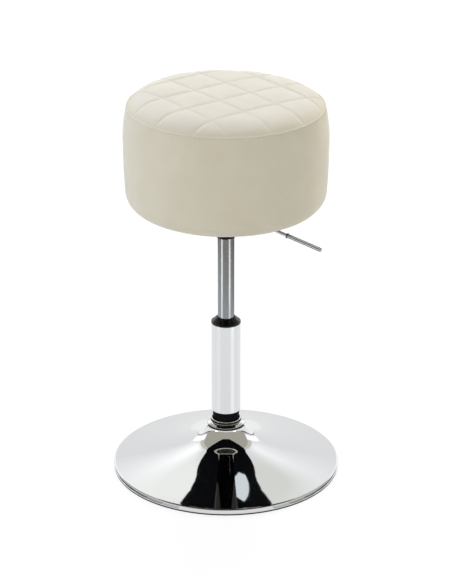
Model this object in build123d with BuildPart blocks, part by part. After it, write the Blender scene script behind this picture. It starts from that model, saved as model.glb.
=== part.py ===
from build123d import *
from math import asin, atan, cos, degrees, radians, sin, sqrt, tan
import os

# A height-adjustable swivel stool: trumpet base, gas lift, lift lever and a round quilted seat.
# Millimetres, +Z up. The origin is on the floor, on the stool's axis. The lever points along +X.
# The seat is modelled at the top of its travel.

# Clearances
running_clearance = 0.05
fixed_clearance = 0.02
soft_clearance = 0.3

# Base
base_radius = 192.5
base_height = 79.0
base_sheet = 2.0
neck_radius = 31.0
neck_lip = 4.0
neck_slope = 20.0
rim_slope = 8.0
rim_height = 11.5
rim_round = 3.0
foot_height = 2.5
foot_lip_height = 4.5
foot_lip_width = 2.0

# Socket and plate welded under the base
hub_radius = 26.0
hub_low = 24.0
hub_top_drop = 2.0
hub_flange_height = 5.0
hub_plate_thickness = 2.5
hub_plate_top = 34.0

# Collar on the neck
collar_radius = 32.0
collar_foot = 1.8
collar_step_radius = 29.0
collar_step_height = 4.6
collar_lip_radius = 26.0
collar_height = 11.0
collar_gap = 1.2
collar_round = 0.7

# Column
column_radius = 25.0
cover_wall = 1.8
cover_low = 105.0
cover_length = 161.0
cover_chamfer = 0.4
sleeve_clearance = 0.2
pipe_wall = 2.0
pipe_low = 20.0
taper_shoulder = 0.4
taper_shoulder_height = 1.0
taper_angle = 1.6
end_plate_thickness = 4.0
bushing_length = 96.5
bushing_lip = 3.0
bushing_cone = 7.5
bushing_cone_foot = 23.6
bushing_cone_wall = 2.0

# Thrust bearing and foot of the piston rod
rod_radius = 5.0
rod_neck_radius = 4.0
rod_neck_room = 0.3
washer_radius = 16.0
washer_thickness = 2.5
lower_washer_bore = 6.0
ball_radius = 2.38
ball_count = 10
ball_circle = 11.5
ball_pocket_clearance = 0.1
cage_inner_radius = 7.5
cage_outer_radius = 15.5
cage_thickness = 2.4
end_washer_radius = 8.0
end_washer_thickness = 1.6
end_washer_play = 0.2
clip_radius = 6.5
clip_thickness = 1.2
clip_groove_depth = 0.6
clip_tip_height = 2.0
bumper_radius = 11.5
bumper_height = 11.0

# Gas lift
lift_travel = 140.0
bottoming_gap = 1.0
closed_gap = 4.5
cylinder_radius = 14.0
cylinder_wall = 1.8
cylinder_lip = 1.5
cylinder_lip_radius = 8.0
cylinder_edge = 0.8
cylinder_taper = 1.0
rod_guide_length = 10.0
rod_seal_length = 4.0
extension_gap = 2.0
piston_length = 12.0
piston_clearance = 0.3
piston_rivet_radius = 6.0
piston_rivet_height = 2.0
seal_ring_radius = 1.2
valve_length = 28.0
valve_recess = 1.0
release_pin_radius = 3.5
release_pin_tail = 4.0
release_pin_dome = 1.0

# Seat plate, its socket and its fasteners
socket_radius = 16.5
socket_drop = 54.0
socket_chamfer = 0.8
socket_rise = 2.5
plate_margin = 12.0
plate_corner = 14.0
plate_thickness = 2.5
flange_width = 18.0
pan_draft = 6.0
pan_corner = 20.0
pan_depth = 24.0
bolt_spacing = 116.0
bolt_radius = 3.0
bolt_hole_clearance = 0.3
bolt_head_across = 10.0
bolt_head_height = 4.0
bolt_washer_radius = 6.5
bolt_washer_thickness = 1.6
tnut_barrel_radius = 4.0
tnut_barrel_length = 10.0
tnut_flange_radius = 9.5
tnut_flange_thickness = 1.5

# Lift lever
lever_drop = 12.2
lever_pivot = 25.0
lever_tail = 7.0
lever_rod_radius = 2.75
lever_eye_radius = 5.0
lever_eye_width = 8.0
lever_bend = 70.0
lever_second_bend = 108.0
lever_bend_slope = 11.6
lever_grip_slope = 7.75
lever_bend_radius = 30.0
lever_reach = 191.5
lever_lift = 7.0
lever_slot_room = 1.0
grip_radius = 3.6
grip_length = 66.0
grip_end_wall = 2.0
grip_round = 0.6
grip_ring_radius = 4.3
grip_ring_width = 1.8
pin_gap = 0.25
pivot_pin_radius = 2.0
bracket_length = 12.0
bracket_sheet = 1.6
bracket_rise = 6.0
bracket_play = 0.4
pivot_clip_radius = 3.8
pivot_clip_width = 1.0
pivot_pin_end = 0.8

# Seat drum and upholstery
belly_radius = 169.0
belly_height = 123.0
hem_draw = 2.8
hem_height = 31.5
seam_draw = 7.8
seam_height = 174.4
piping_radius = 1.8
crown_height = 22.6
crown_radius = 3000.0
crown_shoulder = 40.0
side_cover_thickness = 3.0
quilt_thickness = 8.0
quilt_pitch = 65.0
quilt_turn = -15.5
quilt_cross = 90.0
stitch_width = 3.0
stitch_depth = 3.4
tuck_width = 8.0
tuck_depth = 1.4
side_padding = 19.0
drum_wall_thickness = 5.0
bottom_board_thickness = 17.0
bottom_board_edge = 3.0
top_board_low = 115.0
top_board_thickness = 12.0
side_foam_height = 166.0
fold_width = 15.0
dust_thickness = 0.8
dust_lap = 8.0
staple_count = 24
staple_span = 10.0
staple_wire = 0.8
staple_leg = 7.0

os.makedirs("parts", exist_ok=True)


def outline(*points):
    """A closed half section in the XZ plane, through points of radius and height."""
    with BuildSketch(Plane.XZ) as section:
        with BuildLine():
            Polyline(*points, close=True)
        make_face()
    return section.sketch


def ring(inner, outer, low, high):
    """The rectangular half section of a ring."""
    return outline((inner, low), (outer, low), (outer, high), (inner, high))


# Heights, from the floor up
cover_high = cover_low + cover_length
bushing_high = cover_high + bushing_lip + bushing_cone
bushing_low = bushing_high - bushing_length
lower_washer_low = pipe_low + end_plate_thickness
ball_height = lower_washer_low + washer_thickness + running_clearance + ball_radius
upper_washer_low = ball_height + ball_radius + running_clearance
upper_washer_high = upper_washer_low + washer_thickness
bumper_high = upper_washer_high + bumper_height
cylinder_low = bumper_high + bottoming_gap + lift_travel
rod_guide_low = cylinder_low + cylinder_lip
rod_seal_low = rod_guide_low + rod_guide_length
piston_low = rod_seal_low + rod_seal_length + extension_gap
piston_high = piston_low + piston_length
socket_low = bushing_high + closed_gap + lift_travel
seat_low = socket_low + socket_drop
plate_high = seat_low - dust_thickness
pan_floor_low = plate_high - pan_depth
pan_floor_high = pan_floor_low + plate_thickness
socket_high = pan_floor_high + socket_rise
valve_high = socket_high - valve_recess
valve_low = valve_high - valve_length
lever_height = plate_high - lever_drop

# Rubber ring under the rim of the base
foot_inner = base_radius - base_sheet - soft_clearance - foot_lip_width
foot_outer = base_radius - soft_clearance
with BuildPart() as rim_ring:
    revolve(
        outline(
            (foot_inner, 0),
            (foot_outer, 0),
            (foot_outer, foot_height),
            (foot_inner + foot_lip_width, foot_height),
            (foot_inner + foot_lip_width, foot_height + foot_lip_height),
            (foot_inner, foot_height + foot_lip_height),
        ),
        axis=Axis.Z,
    )

# Trumpet shell: a lip at the neck, then two tangent arcs that flatten out to the rolled rim.
# The arcs' radii follow from the run and rise that they have to cover.
neck_sine = sin(radians(neck_slope))
neck_cosine = cos(radians(neck_slope))
rim_sine = sin(radians(rim_slope))
rim_cosine = cos(radians(rim_slope))
flare_run = base_radius - rim_round * (1 - rim_sine) - neck_radius
flare_rise = base_height - neck_lip - rim_height
skirt_run_share = neck_sine - rim_sine
skirt_rise_share = rim_cosine - neck_cosine
flare_determinant = skirt_run_share * neck_cosine - skirt_rise_share * (1 - neck_sine)
skirt_radius = (flare_run * neck_cosine - flare_rise * (1 - neck_sine)) / flare_determinant
neck_arc_radius = (skirt_run_share * flare_rise - skirt_rise_share * flare_run) / flare_determinant
with BuildPart() as base_shell:
    with BuildSketch(Plane.XZ):
        with BuildLine():
            lip = Line((neck_radius, base_height), (neck_radius, base_height - neck_lip))
            neck = JernArc(lip @ 1, lip % 1, neck_arc_radius, 90 - neck_slope)
            skirt = JernArc(neck @ 1, neck % 1, skirt_radius, neck_slope - rim_slope)
            roll = JernArc(skirt @ 1, skirt % 1, rim_round, rim_slope - 90)
            Line(roll @ 1, (base_radius, foot_height))
            offset(amount=base_sheet, side=Side.RIGHT)
        make_face()
    revolve(axis=Axis.Z)

# Hub plate: a disc between the taper socket and the underside of the skirt
skirt_end = base_radius - rim_round * (1 - rim_sine)
skirt_center_radius = skirt_end + skirt_radius * rim_sine
skirt_center_height = rim_height + skirt_radius * rim_cosine
skirt_inner_radius = skirt_radius + base_sheet
hub_plate_depth = skirt_center_height - hub_plate_top
hub_plate_edge = skirt_center_radius - sqrt(skirt_inner_radius**2 - hub_plate_depth**2)
hub_plate_radius = hub_plate_edge - soft_clearance
with BuildPart() as hub_plate:
    revolve(
        ring(
            hub_radius + fixed_clearance,
            hub_plate_radius,
            hub_plate_top - hub_plate_thickness,
            hub_plate_top,
        ),
        axis=Axis.Z,
    )

# Standpipe: a plain tube above, tapered below where it wedges into the base socket
pipe_radius = column_radius - cover_wall - sleeve_clearance
taper_high = cover_low - taper_shoulder_height
taper_tangent = tan(radians(taper_angle))


def taper_radius(height):
    """The standpipe's outer radius on its taper."""
    return pipe_radius - taper_shoulder - (taper_high - height) * taper_tangent


with BuildPart() as standpipe:
    revolve(
        outline(
            (taper_radius(pipe_low) - pipe_wall, pipe_low),
            (taper_radius(pipe_low), pipe_low),
            (taper_radius(taper_high), taper_high),
            (pipe_radius, cover_low),
            (pipe_radius, cover_high),
            (pipe_radius - pipe_wall, cover_high),
            (pipe_radius - pipe_wall, cover_low),
            (taper_radius(taper_high) - pipe_wall, taper_high),
        ),
        axis=Axis.Z,
    )

# Base socket: a tapered hub whose flange is welded inside the neck's lip
hub_high = base_height - hub_top_drop
hub_flange_radius = neck_radius - base_sheet - fixed_clearance
with BuildPart() as base_socket:
    revolve(
        outline(
            (taper_radius(hub_low) + fixed_clearance, hub_low),
            (hub_radius, hub_low),
            (hub_radius, hub_high - hub_flange_height),
            (hub_flange_radius, hub_high - hub_flange_height),
            (hub_flange_radius, hub_high),
            (taper_radius(hub_high) + fixed_clearance, hub_high),
        ),
        axis=Axis.Z,
    )

# Stepped collar that sits on the neck and hides the taper joint
collar_high = base_height + collar_height
collar_inner = taper_radius(collar_high) + collar_gap
collar_step_high = base_height + collar_step_height
with BuildPart() as base_collar:
    revolve(
        outline(
            (collar_inner, base_height),
            (collar_radius, base_height),
            (collar_radius, base_height + collar_foot),
            (collar_step_radius, collar_step_high),
            (collar_lip_radius, collar_step_high + collar_round),
            (collar_lip_radius, collar_high),
            (collar_inner, collar_high),
        ),
        axis=Axis.Z,
    )
    top_edges = base_collar.edges().group_by(Axis.Z)[-1]
    fillet(top_edges, collar_round)

# Plate welded in the standpipe's lower end
with BuildPart() as standpipe_end_plate:
    revolve(
        ring(
            rod_neck_radius + rod_neck_room,
            taper_radius(pipe_low) - pipe_wall - fixed_clearance,
            pipe_low,
            lower_washer_low,
        ),
        axis=Axis.Z,
    )

# Chrome tube slipped over the standpipe
with BuildPart() as column_cover:
    revolve(ring(pipe_radius + sleeve_clearance, column_radius, cover_low, cover_high), axis=Axis.Z)
    outer_edges = column_cover.edges().filter_by(GeomType.CIRCLE).sort_by(SortBy.RADIUS)[-2:]
    chamfer(outer_edges, cover_chamfer)

# Guide bushing: a long plastic sleeve with a lip and a cone that caps the column
bushing_bore = cylinder_radius + running_clearance
with BuildPart() as guide_bushing:
    revolve(
        outline(
            (bushing_bore, bushing_low),
            (pipe_radius - pipe_wall - sleeve_clearance, bushing_low),
            (pipe_radius - pipe_wall - sleeve_clearance, cover_high),
            (column_radius, cover_high),
            (column_radius, cover_high + bushing_lip),
            (bushing_cone_foot, cover_high + bushing_lip),
            (bushing_bore + bushing_cone_wall, bushing_high),
            (bushing_bore, bushing_high),
        ),
        axis=Axis.Z,
    )
    lip_edges = guide_bushing.edges().filter_by(GeomType.CIRCLE).sort_by(SortBy.RADIUS)[-2:]
    fillet(lip_edges.sort_by(Axis.Z)[-1], bushing_lip / 3)

# Thrust bearing on the end plate
with BuildPart() as lower_bearing_washer:
    washer_high = lower_washer_low + washer_thickness
    revolve(ring(lower_washer_bore, washer_radius, lower_washer_low, washer_high), axis=Axis.Z)

with BuildPart() as ball_cage:
    cage_low = ball_height - cage_thickness / 2
    revolve(
        ring(cage_inner_radius, cage_outer_radius, cage_low, cage_low + cage_thickness),
        axis=Axis.Z,
    )
    with Locations((0, 0, ball_height)):
        with PolarLocations(ball_circle, ball_count):
            Cylinder(ball_radius + ball_pocket_clearance, 2 * cage_thickness, mode=Mode.SUBTRACT)

with BuildPart() as bearing_balls:
    with Locations((0, 0, ball_height)):
        with PolarLocations(ball_circle, ball_count):
            Sphere(ball_radius)

with BuildPart() as upper_bearing_washer:
    revolve(
        ring(rod_neck_radius + fixed_clearance, washer_radius, upper_washer_low, upper_washer_high),
        axis=Axis.Z,
    )

# Piston rod: a clip groove at its foot, a neck through the bearing, a rivet head over the piston
end_washer_high = pipe_low - end_washer_play
end_washer_low = end_washer_high - end_washer_thickness
clip_low = end_washer_low - clip_thickness
clip_groove_radius = rod_neck_radius - clip_groove_depth
rod_low = clip_low - clip_tip_height
with BuildPart() as piston_rod:
    revolve(
        outline(
            (0, rod_low),
            (rod_neck_radius, rod_low),
            (rod_neck_radius, clip_low),
            (clip_groove_radius, clip_low),
            (clip_groove_radius, end_washer_low),
            (rod_neck_radius, end_washer_low),
            (rod_neck_radius, upper_washer_high),
            (rod_radius, upper_washer_high),
            (rod_radius, piston_low),
            (rod_neck_radius, piston_low),
            (rod_neck_radius, piston_high),
            (piston_rivet_radius, piston_high),
            (piston_rivet_radius, piston_high + piston_rivet_height),
            (0, piston_high + piston_rivet_height),
        ),
        axis=Axis.Z,
    )

with BuildPart() as end_washer:
    revolve(
        ring(rod_neck_radius + fixed_clearance, end_washer_radius, end_washer_low, end_washer_high),
        axis=Axis.Z,
    )

with BuildPart() as retaining_clip:
    revolve(
        ring(clip_groove_radius + fixed_clearance, clip_radius, clip_low, end_washer_low),
        axis=Axis.Z,
    )

with BuildPart() as rubber_bumper:
    revolve(
        ring(rod_radius + fixed_clearance, bumper_radius, upper_washer_high, bumper_high),
        axis=Axis.Z,
    )

# Piston with its seal ring, inside the gas cylinder
bore_radius = cylinder_radius - cylinder_wall
seal_circle = bore_radius - running_clearance - seal_ring_radius
seal_height = (piston_low + piston_high) / 2
groove_radius = seal_circle - seal_ring_radius - fixed_clearance
groove_half = seal_ring_radius + fixed_clearance
with BuildPart() as piston:
    revolve(
        ring(
            rod_neck_radius + fixed_clearance,
            bore_radius - piston_clearance,
            piston_low,
            piston_high,
        ),
        axis=Axis.Z,
    )
    revolve(
        ring(groove_radius, bore_radius, seal_height - groove_half, seal_height + groove_half),
        axis=Axis.Z,
        mode=Mode.SUBTRACT,
    )

with BuildPart() as piston_seal:
    with Locations((0, 0, seal_height)):
        Torus(seal_circle, seal_ring_radius)

# Gas cylinder: rolled in at its foot, tapered at its head where the seat socket grips it
cylinder_head_radius = cylinder_radius - (socket_high - socket_low) * tan(radians(cylinder_taper))
with BuildPart() as gas_cylinder:
    revolve(
        outline(
            (cylinder_lip_radius, cylinder_low),
            (cylinder_radius - cylinder_edge, cylinder_low),
            (cylinder_radius, cylinder_low + cylinder_edge),
            (cylinder_radius, socket_low),
            (cylinder_head_radius, socket_high),
            (bore_radius, socket_high),
            (bore_radius, rod_guide_low),
            (cylinder_lip_radius, rod_guide_low),
        ),
        axis=Axis.Z,
    )

with BuildPart() as rod_guide:
    revolve(
        ring(
            rod_radius + running_clearance,
            bore_radius - fixed_clearance,
            rod_guide_low,
            rod_seal_low,
        ),
        axis=Axis.Z,
    )

with BuildPart() as rod_seal:
    revolve(
        ring(
            rod_radius + running_clearance,
            bore_radius - fixed_clearance,
            rod_seal_low,
            rod_seal_low + rod_seal_length,
        ),
        axis=Axis.Z,
    )

with BuildPart() as valve_body:
    revolve(
        ring(
            release_pin_radius + running_clearance,
            bore_radius - fixed_clearance,
            valve_low,
            valve_high,
        ),
        axis=Axis.Z,
    )

# Release pin: a domed button just under the lever's tail
release_pin_high = lever_height - lever_rod_radius - pin_gap
with BuildPart() as release_pin:
    with BuildSketch(Plane.XZ):
        with BuildLine():
            foot = Line((0, valve_low + release_pin_tail), (release_pin_radius, valve_low + release_pin_tail))
            flank = Line(foot @ 1, (release_pin_radius, release_pin_high - release_pin_dome))
            dome_radius = (release_pin_radius**2 + release_pin_dome**2) / (2 * release_pin_dome)
            dome = RadiusArc(flank @ 1, (0, release_pin_high), -dome_radius)
            Line(dome @ 1, foot @ 0)
        make_face()
    revolve(axis=Axis.Z)

# Seat socket: a short tube with a tapered bore, welded through the pan's floor
with BuildPart() as seat_socket:
    revolve(
        outline(
            (cylinder_radius + fixed_clearance, socket_low),
            (socket_radius - socket_chamfer, socket_low),
            (socket_radius, socket_low + socket_chamfer),
            (socket_radius, socket_high),
            (cylinder_head_radius + fixed_clearance, socket_high),
        ),
        axis=Axis.Z,
    )

# Seat plate: a pressed pan with a flange, holes for the bolts and a slot for the lever
plate_size = bolt_spacing + 2 * plate_margin
pan_size = plate_size - 2 * flange_width
pan_floor_size = pan_size - 2 * pan_draft
lever_slot_reach = (pan_size / 2 - lever_pivot) * sin(radians(lever_lift))
lever_slot_low = lever_height - lever_rod_radius - lever_slot_room
lever_slot_high = lever_height + lever_slot_reach + lever_rod_radius + lever_slot_room
with BuildPart() as seat_plate:
    with BuildSketch(Plane.XY.offset(plate_high)):
        RectangleRounded(plate_size, plate_size, plate_corner)
    extrude(amount=-plate_thickness)
    with BuildSketch(Plane.XY.offset(plate_high)):
        RectangleRounded(pan_size, pan_size, pan_corner)
    with BuildSketch(Plane.XY.offset(pan_floor_low)):
        RectangleRounded(pan_floor_size, pan_floor_size, pan_corner)
    loft(ruled=True)
    with BuildSketch(Plane.XY.offset(plate_high)):
        RectangleRounded(
            pan_size - 2 * plate_thickness,
            pan_size - 2 * plate_thickness,
            pan_corner - plate_thickness,
        )
    with BuildSketch(Plane.XY.offset(pan_floor_high)):
        RectangleRounded(
            pan_floor_size - 2 * plate_thickness,
            pan_floor_size - 2 * plate_thickness,
            pan_corner - plate_thickness,
        )
    loft(ruled=True, mode=Mode.SUBTRACT)
    with Locations((0, 0, pan_floor_high)):
        Hole(socket_radius + fixed_clearance, 2 * plate_thickness)
    with Locations((0, 0, plate_high)):
        with GridLocations(bolt_spacing, bolt_spacing, 2, 2):
            Hole(bolt_radius + bolt_hole_clearance, 2 * plate_thickness)
    with Locations(((pan_size - pan_draft) / 2, 0, (lever_slot_low + lever_slot_high) / 2)):
        Box(
            2 * pan_draft + 4 * plate_thickness,
            2 * (lever_rod_radius + lever_slot_room),
            lever_slot_high - lever_slot_low,
            mode=Mode.SUBTRACT,
        )

# Bracket welded on the pan's floor: a base and two ears that hold the lever's pivot pin
ear_inner = lever_eye_width / 2 + bracket_play
ear_outer = ear_inner + bracket_sheet
ear_height = lever_height + bracket_rise - pan_floor_high
with BuildPart() as lever_bracket:
    with Locations((lever_pivot, 0, pan_floor_high)):
        Box(
            bracket_length,
            2 * ear_outer,
            bracket_sheet,
            align=(Align.CENTER, Align.CENTER, Align.MIN),
        )
    with Locations(
        (lever_pivot, (ear_inner + ear_outer) / 2, pan_floor_high),
        (lever_pivot, -(ear_inner + ear_outer) / 2, pan_floor_high),
    ):
        Box(
            bracket_length,
            bracket_sheet,
            ear_height,
            align=(Align.CENTER, Align.CENTER, Align.MIN),
        )
    with BuildSketch(Plane.XZ):
        with Locations((lever_pivot, lever_height)):
            Circle(pivot_pin_radius + fixed_clearance)
    extrude(amount=ear_outer, both=True, mode=Mode.SUBTRACT)
    ear_tops = lever_bracket.edges().filter_by(Axis.Y).group_by(Axis.Z)[-1]
    fillet(ear_tops, bracket_length / 3)

pivot_pin_half = ear_outer + pivot_clip_width + pivot_pin_end
with BuildPart() as pivot_pin:
    with BuildSketch(Plane.XZ):
        with Locations((lever_pivot, lever_height)):
            Circle(pivot_pin_radius)
    extrude(amount=pivot_pin_half, both=True)

with BuildPart() as pivot_clips:
    for clip_plane in (Plane.XZ.offset(ear_outer), Plane.XZ.offset(-ear_outer - pivot_clip_width)):
        with BuildSketch(clip_plane):
            with Locations((lever_pivot, lever_height)):
                Circle(pivot_clip_radius)
                Circle(pivot_pin_radius + fixed_clearance, mode=Mode.SUBTRACT)
        extrude(amount=pivot_clip_width)

# Lever rod: a bent bar with an eye at its pivot
bend_tangent = tan(radians(lever_bend_slope))
grip_tangent = tan(radians(lever_grip_slope))
second_bend_height = lever_height - (lever_second_bend - lever_bend) * bend_tangent
tip_height = second_bend_height - (lever_reach - lever_second_bend) * grip_tangent
grip_direction = Vector(cos(radians(lever_grip_slope)), 0, -sin(radians(lever_grip_slope)))
grip_tip = Vector(lever_reach, 0, tip_height)
grip_start = grip_tip - grip_direction * grip_length
rod_tip = grip_tip - grip_direction * grip_end_wall
with BuildPart() as lever_rod:
    with BuildLine(Plane.XZ) as lever_line:
        FilletPolyline(
            (-lever_tail, lever_height),
            (lever_bend, lever_height),
            (lever_second_bend, second_bend_height),
            (rod_tip.X, rod_tip.Z),
            radius=lever_bend_radius,
        )
    with BuildSketch(Plane(lever_line.line @ 0, z_dir=lever_line.line % 0)):
        Circle(lever_rod_radius)
    sweep(path=lever_line.line)
    with BuildSketch(Plane.XZ):
        with Locations((lever_pivot, lever_height)):
            Circle(lever_eye_radius)
    extrude(amount=lever_eye_width / 2, both=True)
    with BuildSketch(Plane.XZ):
        with Locations((lever_pivot, lever_height)):
            Circle(pivot_pin_radius + running_clearance)
    extrude(amount=lever_eye_width / 2, both=True, mode=Mode.SUBTRACT)

# Grip: a blind sleeve over the rod's end, with a rubber ring at its inner end
with BuildPart() as lever_grip:
    with BuildSketch(Plane(grip_start, z_dir=grip_direction)):
        Circle(grip_radius)
    extrude(amount=grip_length)
    grip_edges = lever_grip.edges().sort_by(Axis.X)[-1]
    fillet(grip_edges, grip_round)
    with BuildSketch(Plane(grip_start, z_dir=grip_direction)):
        Circle(lever_rod_radius + fixed_clearance)
    extrude(amount=grip_length - grip_end_wall, mode=Mode.SUBTRACT)

with BuildPart() as grip_ring:
    with BuildSketch(Plane(grip_start - grip_direction * grip_ring_width, z_dir=grip_direction)):
        Circle(grip_ring_radius)
        Circle(lever_rod_radius + fixed_clearance, mode=Mode.SUBTRACT)
    extrude(amount=grip_ring_width)

# Side of the seat: three tangent arcs, from the fold under the seat to the seam.
# The lean at the hem and the radii follow from the heights and radii that the side passes through,
# which are drawn in from the belly, as the drum inside is.
hem_radius = belly_radius - hem_draw
seam_radius = belly_radius - seam_draw
drum_radius = belly_radius - side_padding
seam_level = seat_low + seam_height
belly_level = seat_low + belly_height
side_end_radius = seam_radius + side_cover_thickness / 2
side_end_level = seam_level - piping_radius - soft_clearance
hem_lean = 2 * degrees(atan((belly_radius - hem_radius) / (belly_height - hem_height)))
side_radius = (belly_height - hem_height) / sin(radians(hem_lean))
edge_radius = hem_height / (1 - sin(radians(hem_lean)))
fold_radius = hem_radius - edge_radius * cos(radians(hem_lean))
shoulder_rise = side_end_level - belly_level
shoulder_lean = 2 * degrees(atan((belly_radius - side_end_radius) / shoulder_rise))
shoulder_radius = shoulder_rise / sin(radians(shoulder_lean))
fold_inner = fold_radius - fold_width


def side_arcs(inset):
    """The three arcs of the seat's side, set in from its outer face."""
    edge = CenterArc(
        (fold_radius, seat_low + edge_radius), edge_radius - inset, -90, 90 - hem_lean
    )
    side = CenterArc(
        (belly_radius - side_radius, belly_level), side_radius - inset, -hem_lean, hem_lean
    )
    shoulder = CenterArc(
        (belly_radius - shoulder_radius, belly_level), shoulder_radius - inset, 0, shoulder_lean
    )
    return edge, side, shoulder


with BuildPart() as side_cover:
    with BuildSketch(Plane.XZ):
        with BuildLine():
            outer_edge, outer_side, outer_shoulder = side_arcs(0)
            inner_edge, inner_side, inner_shoulder = side_arcs(side_cover_thickness)
            Line(outer_shoulder @ 1, inner_shoulder @ 1)
            Polyline(
                outer_edge @ 0,
                (fold_inner, seat_low),
                (fold_inner, seat_low + side_cover_thickness),
                inner_edge @ 0,
            )
        make_face()
    revolve(axis=Axis.Z)

# Piping sewn into the seam
with BuildPart() as seam_piping:
    with Locations((0, 0, seam_level)):
        Torus(seam_radius, piping_radius)

# Quilted top: a shallow crown and a tangent shoulder arc down to the seam, crossed by sewn channels
crown_level = seam_level + crown_height
quilt_edge_radius = seam_radius - piping_radius
crown_flat_radius = quilt_edge_radius - crown_shoulder
crown_lean = degrees(asin(crown_flat_radius / crown_radius))
crown_end_level = crown_level - crown_radius * (1 - cos(radians(crown_lean)))
quilt_edge_level = seam_level + piping_radius
quilt_edge_drop = crown_end_level - quilt_edge_level
quilt_lean = 2 * degrees(atan(quilt_edge_drop / crown_shoulder)) - crown_lean
quilt_edge_arc = crown_shoulder / (sin(radians(quilt_lean)) - sin(radians(crown_lean)))


def crown_arcs(inset):
    """The two arcs of the seat's top, set in from its outer face."""
    crown = CenterArc(
        (0, crown_level - crown_radius), crown_radius - inset, 90 - crown_lean, crown_lean
    )
    edge_center = (
        quilt_edge_radius - quilt_edge_arc * sin(radians(quilt_lean)),
        quilt_edge_level - quilt_edge_arc * cos(radians(quilt_lean)),
    )
    edge = CenterArc(edge_center, quilt_edge_arc - inset, 90 - quilt_lean, quilt_lean - crown_lean)
    return crown, edge


def crown_shell(outer_inset, inner_inset):
    """The half section between two depths below the seat's top."""
    with BuildSketch(Plane.XZ) as section:
        with BuildLine():
            outer_crown, outer_rim = crown_arcs(outer_inset)
            inner_crown, inner_rim = crown_arcs(inner_inset)
            Line(outer_crown @ 1, inner_crown @ 1)
            Line(outer_rim @ 0, inner_rim @ 0)
        make_face()
    return section.sketch


quilt_lines_each_side = int(quilt_edge_radius / quilt_pitch)
quilt_line_count = 2 * quilt_lines_each_side
channels = []
for channel_width, channel_depth in ((tuck_width, tuck_depth), (stitch_width, stitch_depth)):
    with BuildPart() as channel:
        for family_turn in (quilt_turn, quilt_turn + quilt_cross):
            with Locations(Location((0, 0, crown_level), (0, 0, family_turn))):
                with GridLocations(0, quilt_pitch, 1, quilt_line_count):
                    Box(3 * seam_radius, channel_width, 4 * crown_height)
        add(
            revolve(crown_shell(-stitch_width, channel_depth), axis=Axis.Z, mode=Mode.PRIVATE),
            mode=Mode.INTERSECT,
        )
    channels.append(channel.part)

with BuildPart() as quilted_cover:
    revolve(crown_shell(0, quilt_thickness), axis=Axis.Z)
    for cut in channels:
        add(cut, mode=Mode.SUBTRACT)

# Boards and wall of the seat's wooden drum
bottom_board_low = seat_low + side_cover_thickness
bottom_board_high = seat_low + bottom_board_thickness
board_plug_radius = fold_inner - soft_clearance
bolt_hole_radius = tnut_barrel_radius + fixed_clearance
with BuildPart() as bottom_board:
    revolve(
        outline(
            (0, seat_low),
            (board_plug_radius, seat_low),
            (board_plug_radius, bottom_board_low),
            (fold_radius - soft_clearance, bottom_board_low),
            (drum_radius, bottom_board_high - bottom_board_edge),
            (drum_radius, bottom_board_high),
            (0, bottom_board_high),
        ),
        axis=Axis.Z,
    )
    with Locations((0, 0, bottom_board_high)):
        with GridLocations(bolt_spacing, bolt_spacing, 2, 2):
            Hole(bolt_hole_radius, bottom_board_thickness)

top_board_level = seat_low + top_board_low
top_board_high = top_board_level + top_board_thickness
with BuildPart() as drum_wall:
    revolve(
        ring(drum_radius - drum_wall_thickness, drum_radius, bottom_board_high, top_board_level),
        axis=Axis.Z,
    )

with BuildPart() as top_board:
    revolve(ring(0, drum_radius, top_board_level, top_board_high), axis=Axis.Z)

# Foam on the top board, domed under the quilted cover, and foam round the drum
with BuildPart() as top_foam:
    with BuildSketch(Plane.XZ):
        with BuildLine():
            foam_crown, foam_rim = crown_arcs(quilt_thickness + soft_clearance)
            Line(foam_crown @ 1, (0, top_board_high))
            Polyline((0, top_board_high), ((foam_rim @ 0).X, top_board_high), foam_rim @ 0)
        make_face()
        with Locations((0, top_board_high)):
            Rectangle(
                2 * drum_radius,
                crown_level - top_board_high,
                align=(Align.CENTER, Align.MIN),
                mode=Mode.INTERSECT,
            )
    revolve(axis=Axis.Z)

with BuildPart() as side_foam:
    with BuildSketch(Plane.XZ):
        with BuildLine():
            foam_edge, foam_side, foam_shoulder = side_arcs(side_cover_thickness + soft_clearance)
            Polyline(foam_shoulder @ 1, (0, side_end_level), (0, seat_low), foam_edge @ 0)
        make_face()
        with Locations((drum_radius + soft_clearance, bottom_board_high - bottom_board_edge)):
            Rectangle(
                belly_radius,
                seat_low + side_foam_height - bottom_board_high + bottom_board_edge,
                align=(Align.MIN, Align.MIN),
                mode=Mode.INTERSECT,
            )
    revolve(axis=Axis.Z)

# Black cloth under the seat, held by staples through the folded hem into the board
dust_radius = fold_inner + dust_lap
with BuildPart() as dust_cover:
    revolve(ring(0, dust_radius, plate_high, seat_low), axis=Axis.Z)
    with Locations((0, 0, seat_low)):
        with GridLocations(bolt_spacing, bolt_spacing, 2, 2):
            Hole(bolt_radius + bolt_hole_clearance, 2 * dust_thickness)

staple_circle = fold_inner + dust_lap / 2
with BuildPart() as cover_staples:
    with Locations((0, 0, plate_high)):
        with PolarLocations(staple_circle, staple_count):
            Box(
                staple_wire,
                staple_span,
                staple_wire,
                align=(Align.CENTER, Align.CENTER, Align.MAX),
            )
            with Locations(
                (0, (staple_span - staple_wire) / 2, 0), (0, (staple_wire - staple_span) / 2, 0)
            ):
                Box(
                    staple_wire,
                    staple_wire,
                    staple_leg,
                    align=(Align.CENTER, Align.CENTER, Align.MIN),
                )

# Bolts that hold the seat plate, with washers below and T-nuts above the bottom board
flange_low = plate_high - plate_thickness
bolt_washer_low = flange_low - bolt_washer_thickness
with BuildPart() as bolt_washers:
    with BuildSketch(Plane.XY.offset(bolt_washer_low)):
        with GridLocations(bolt_spacing, bolt_spacing, 2, 2):
            Circle(bolt_washer_radius)
            Circle(bolt_radius + bolt_hole_clearance, mode=Mode.SUBTRACT)
    extrude(amount=bolt_washer_thickness)

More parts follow.
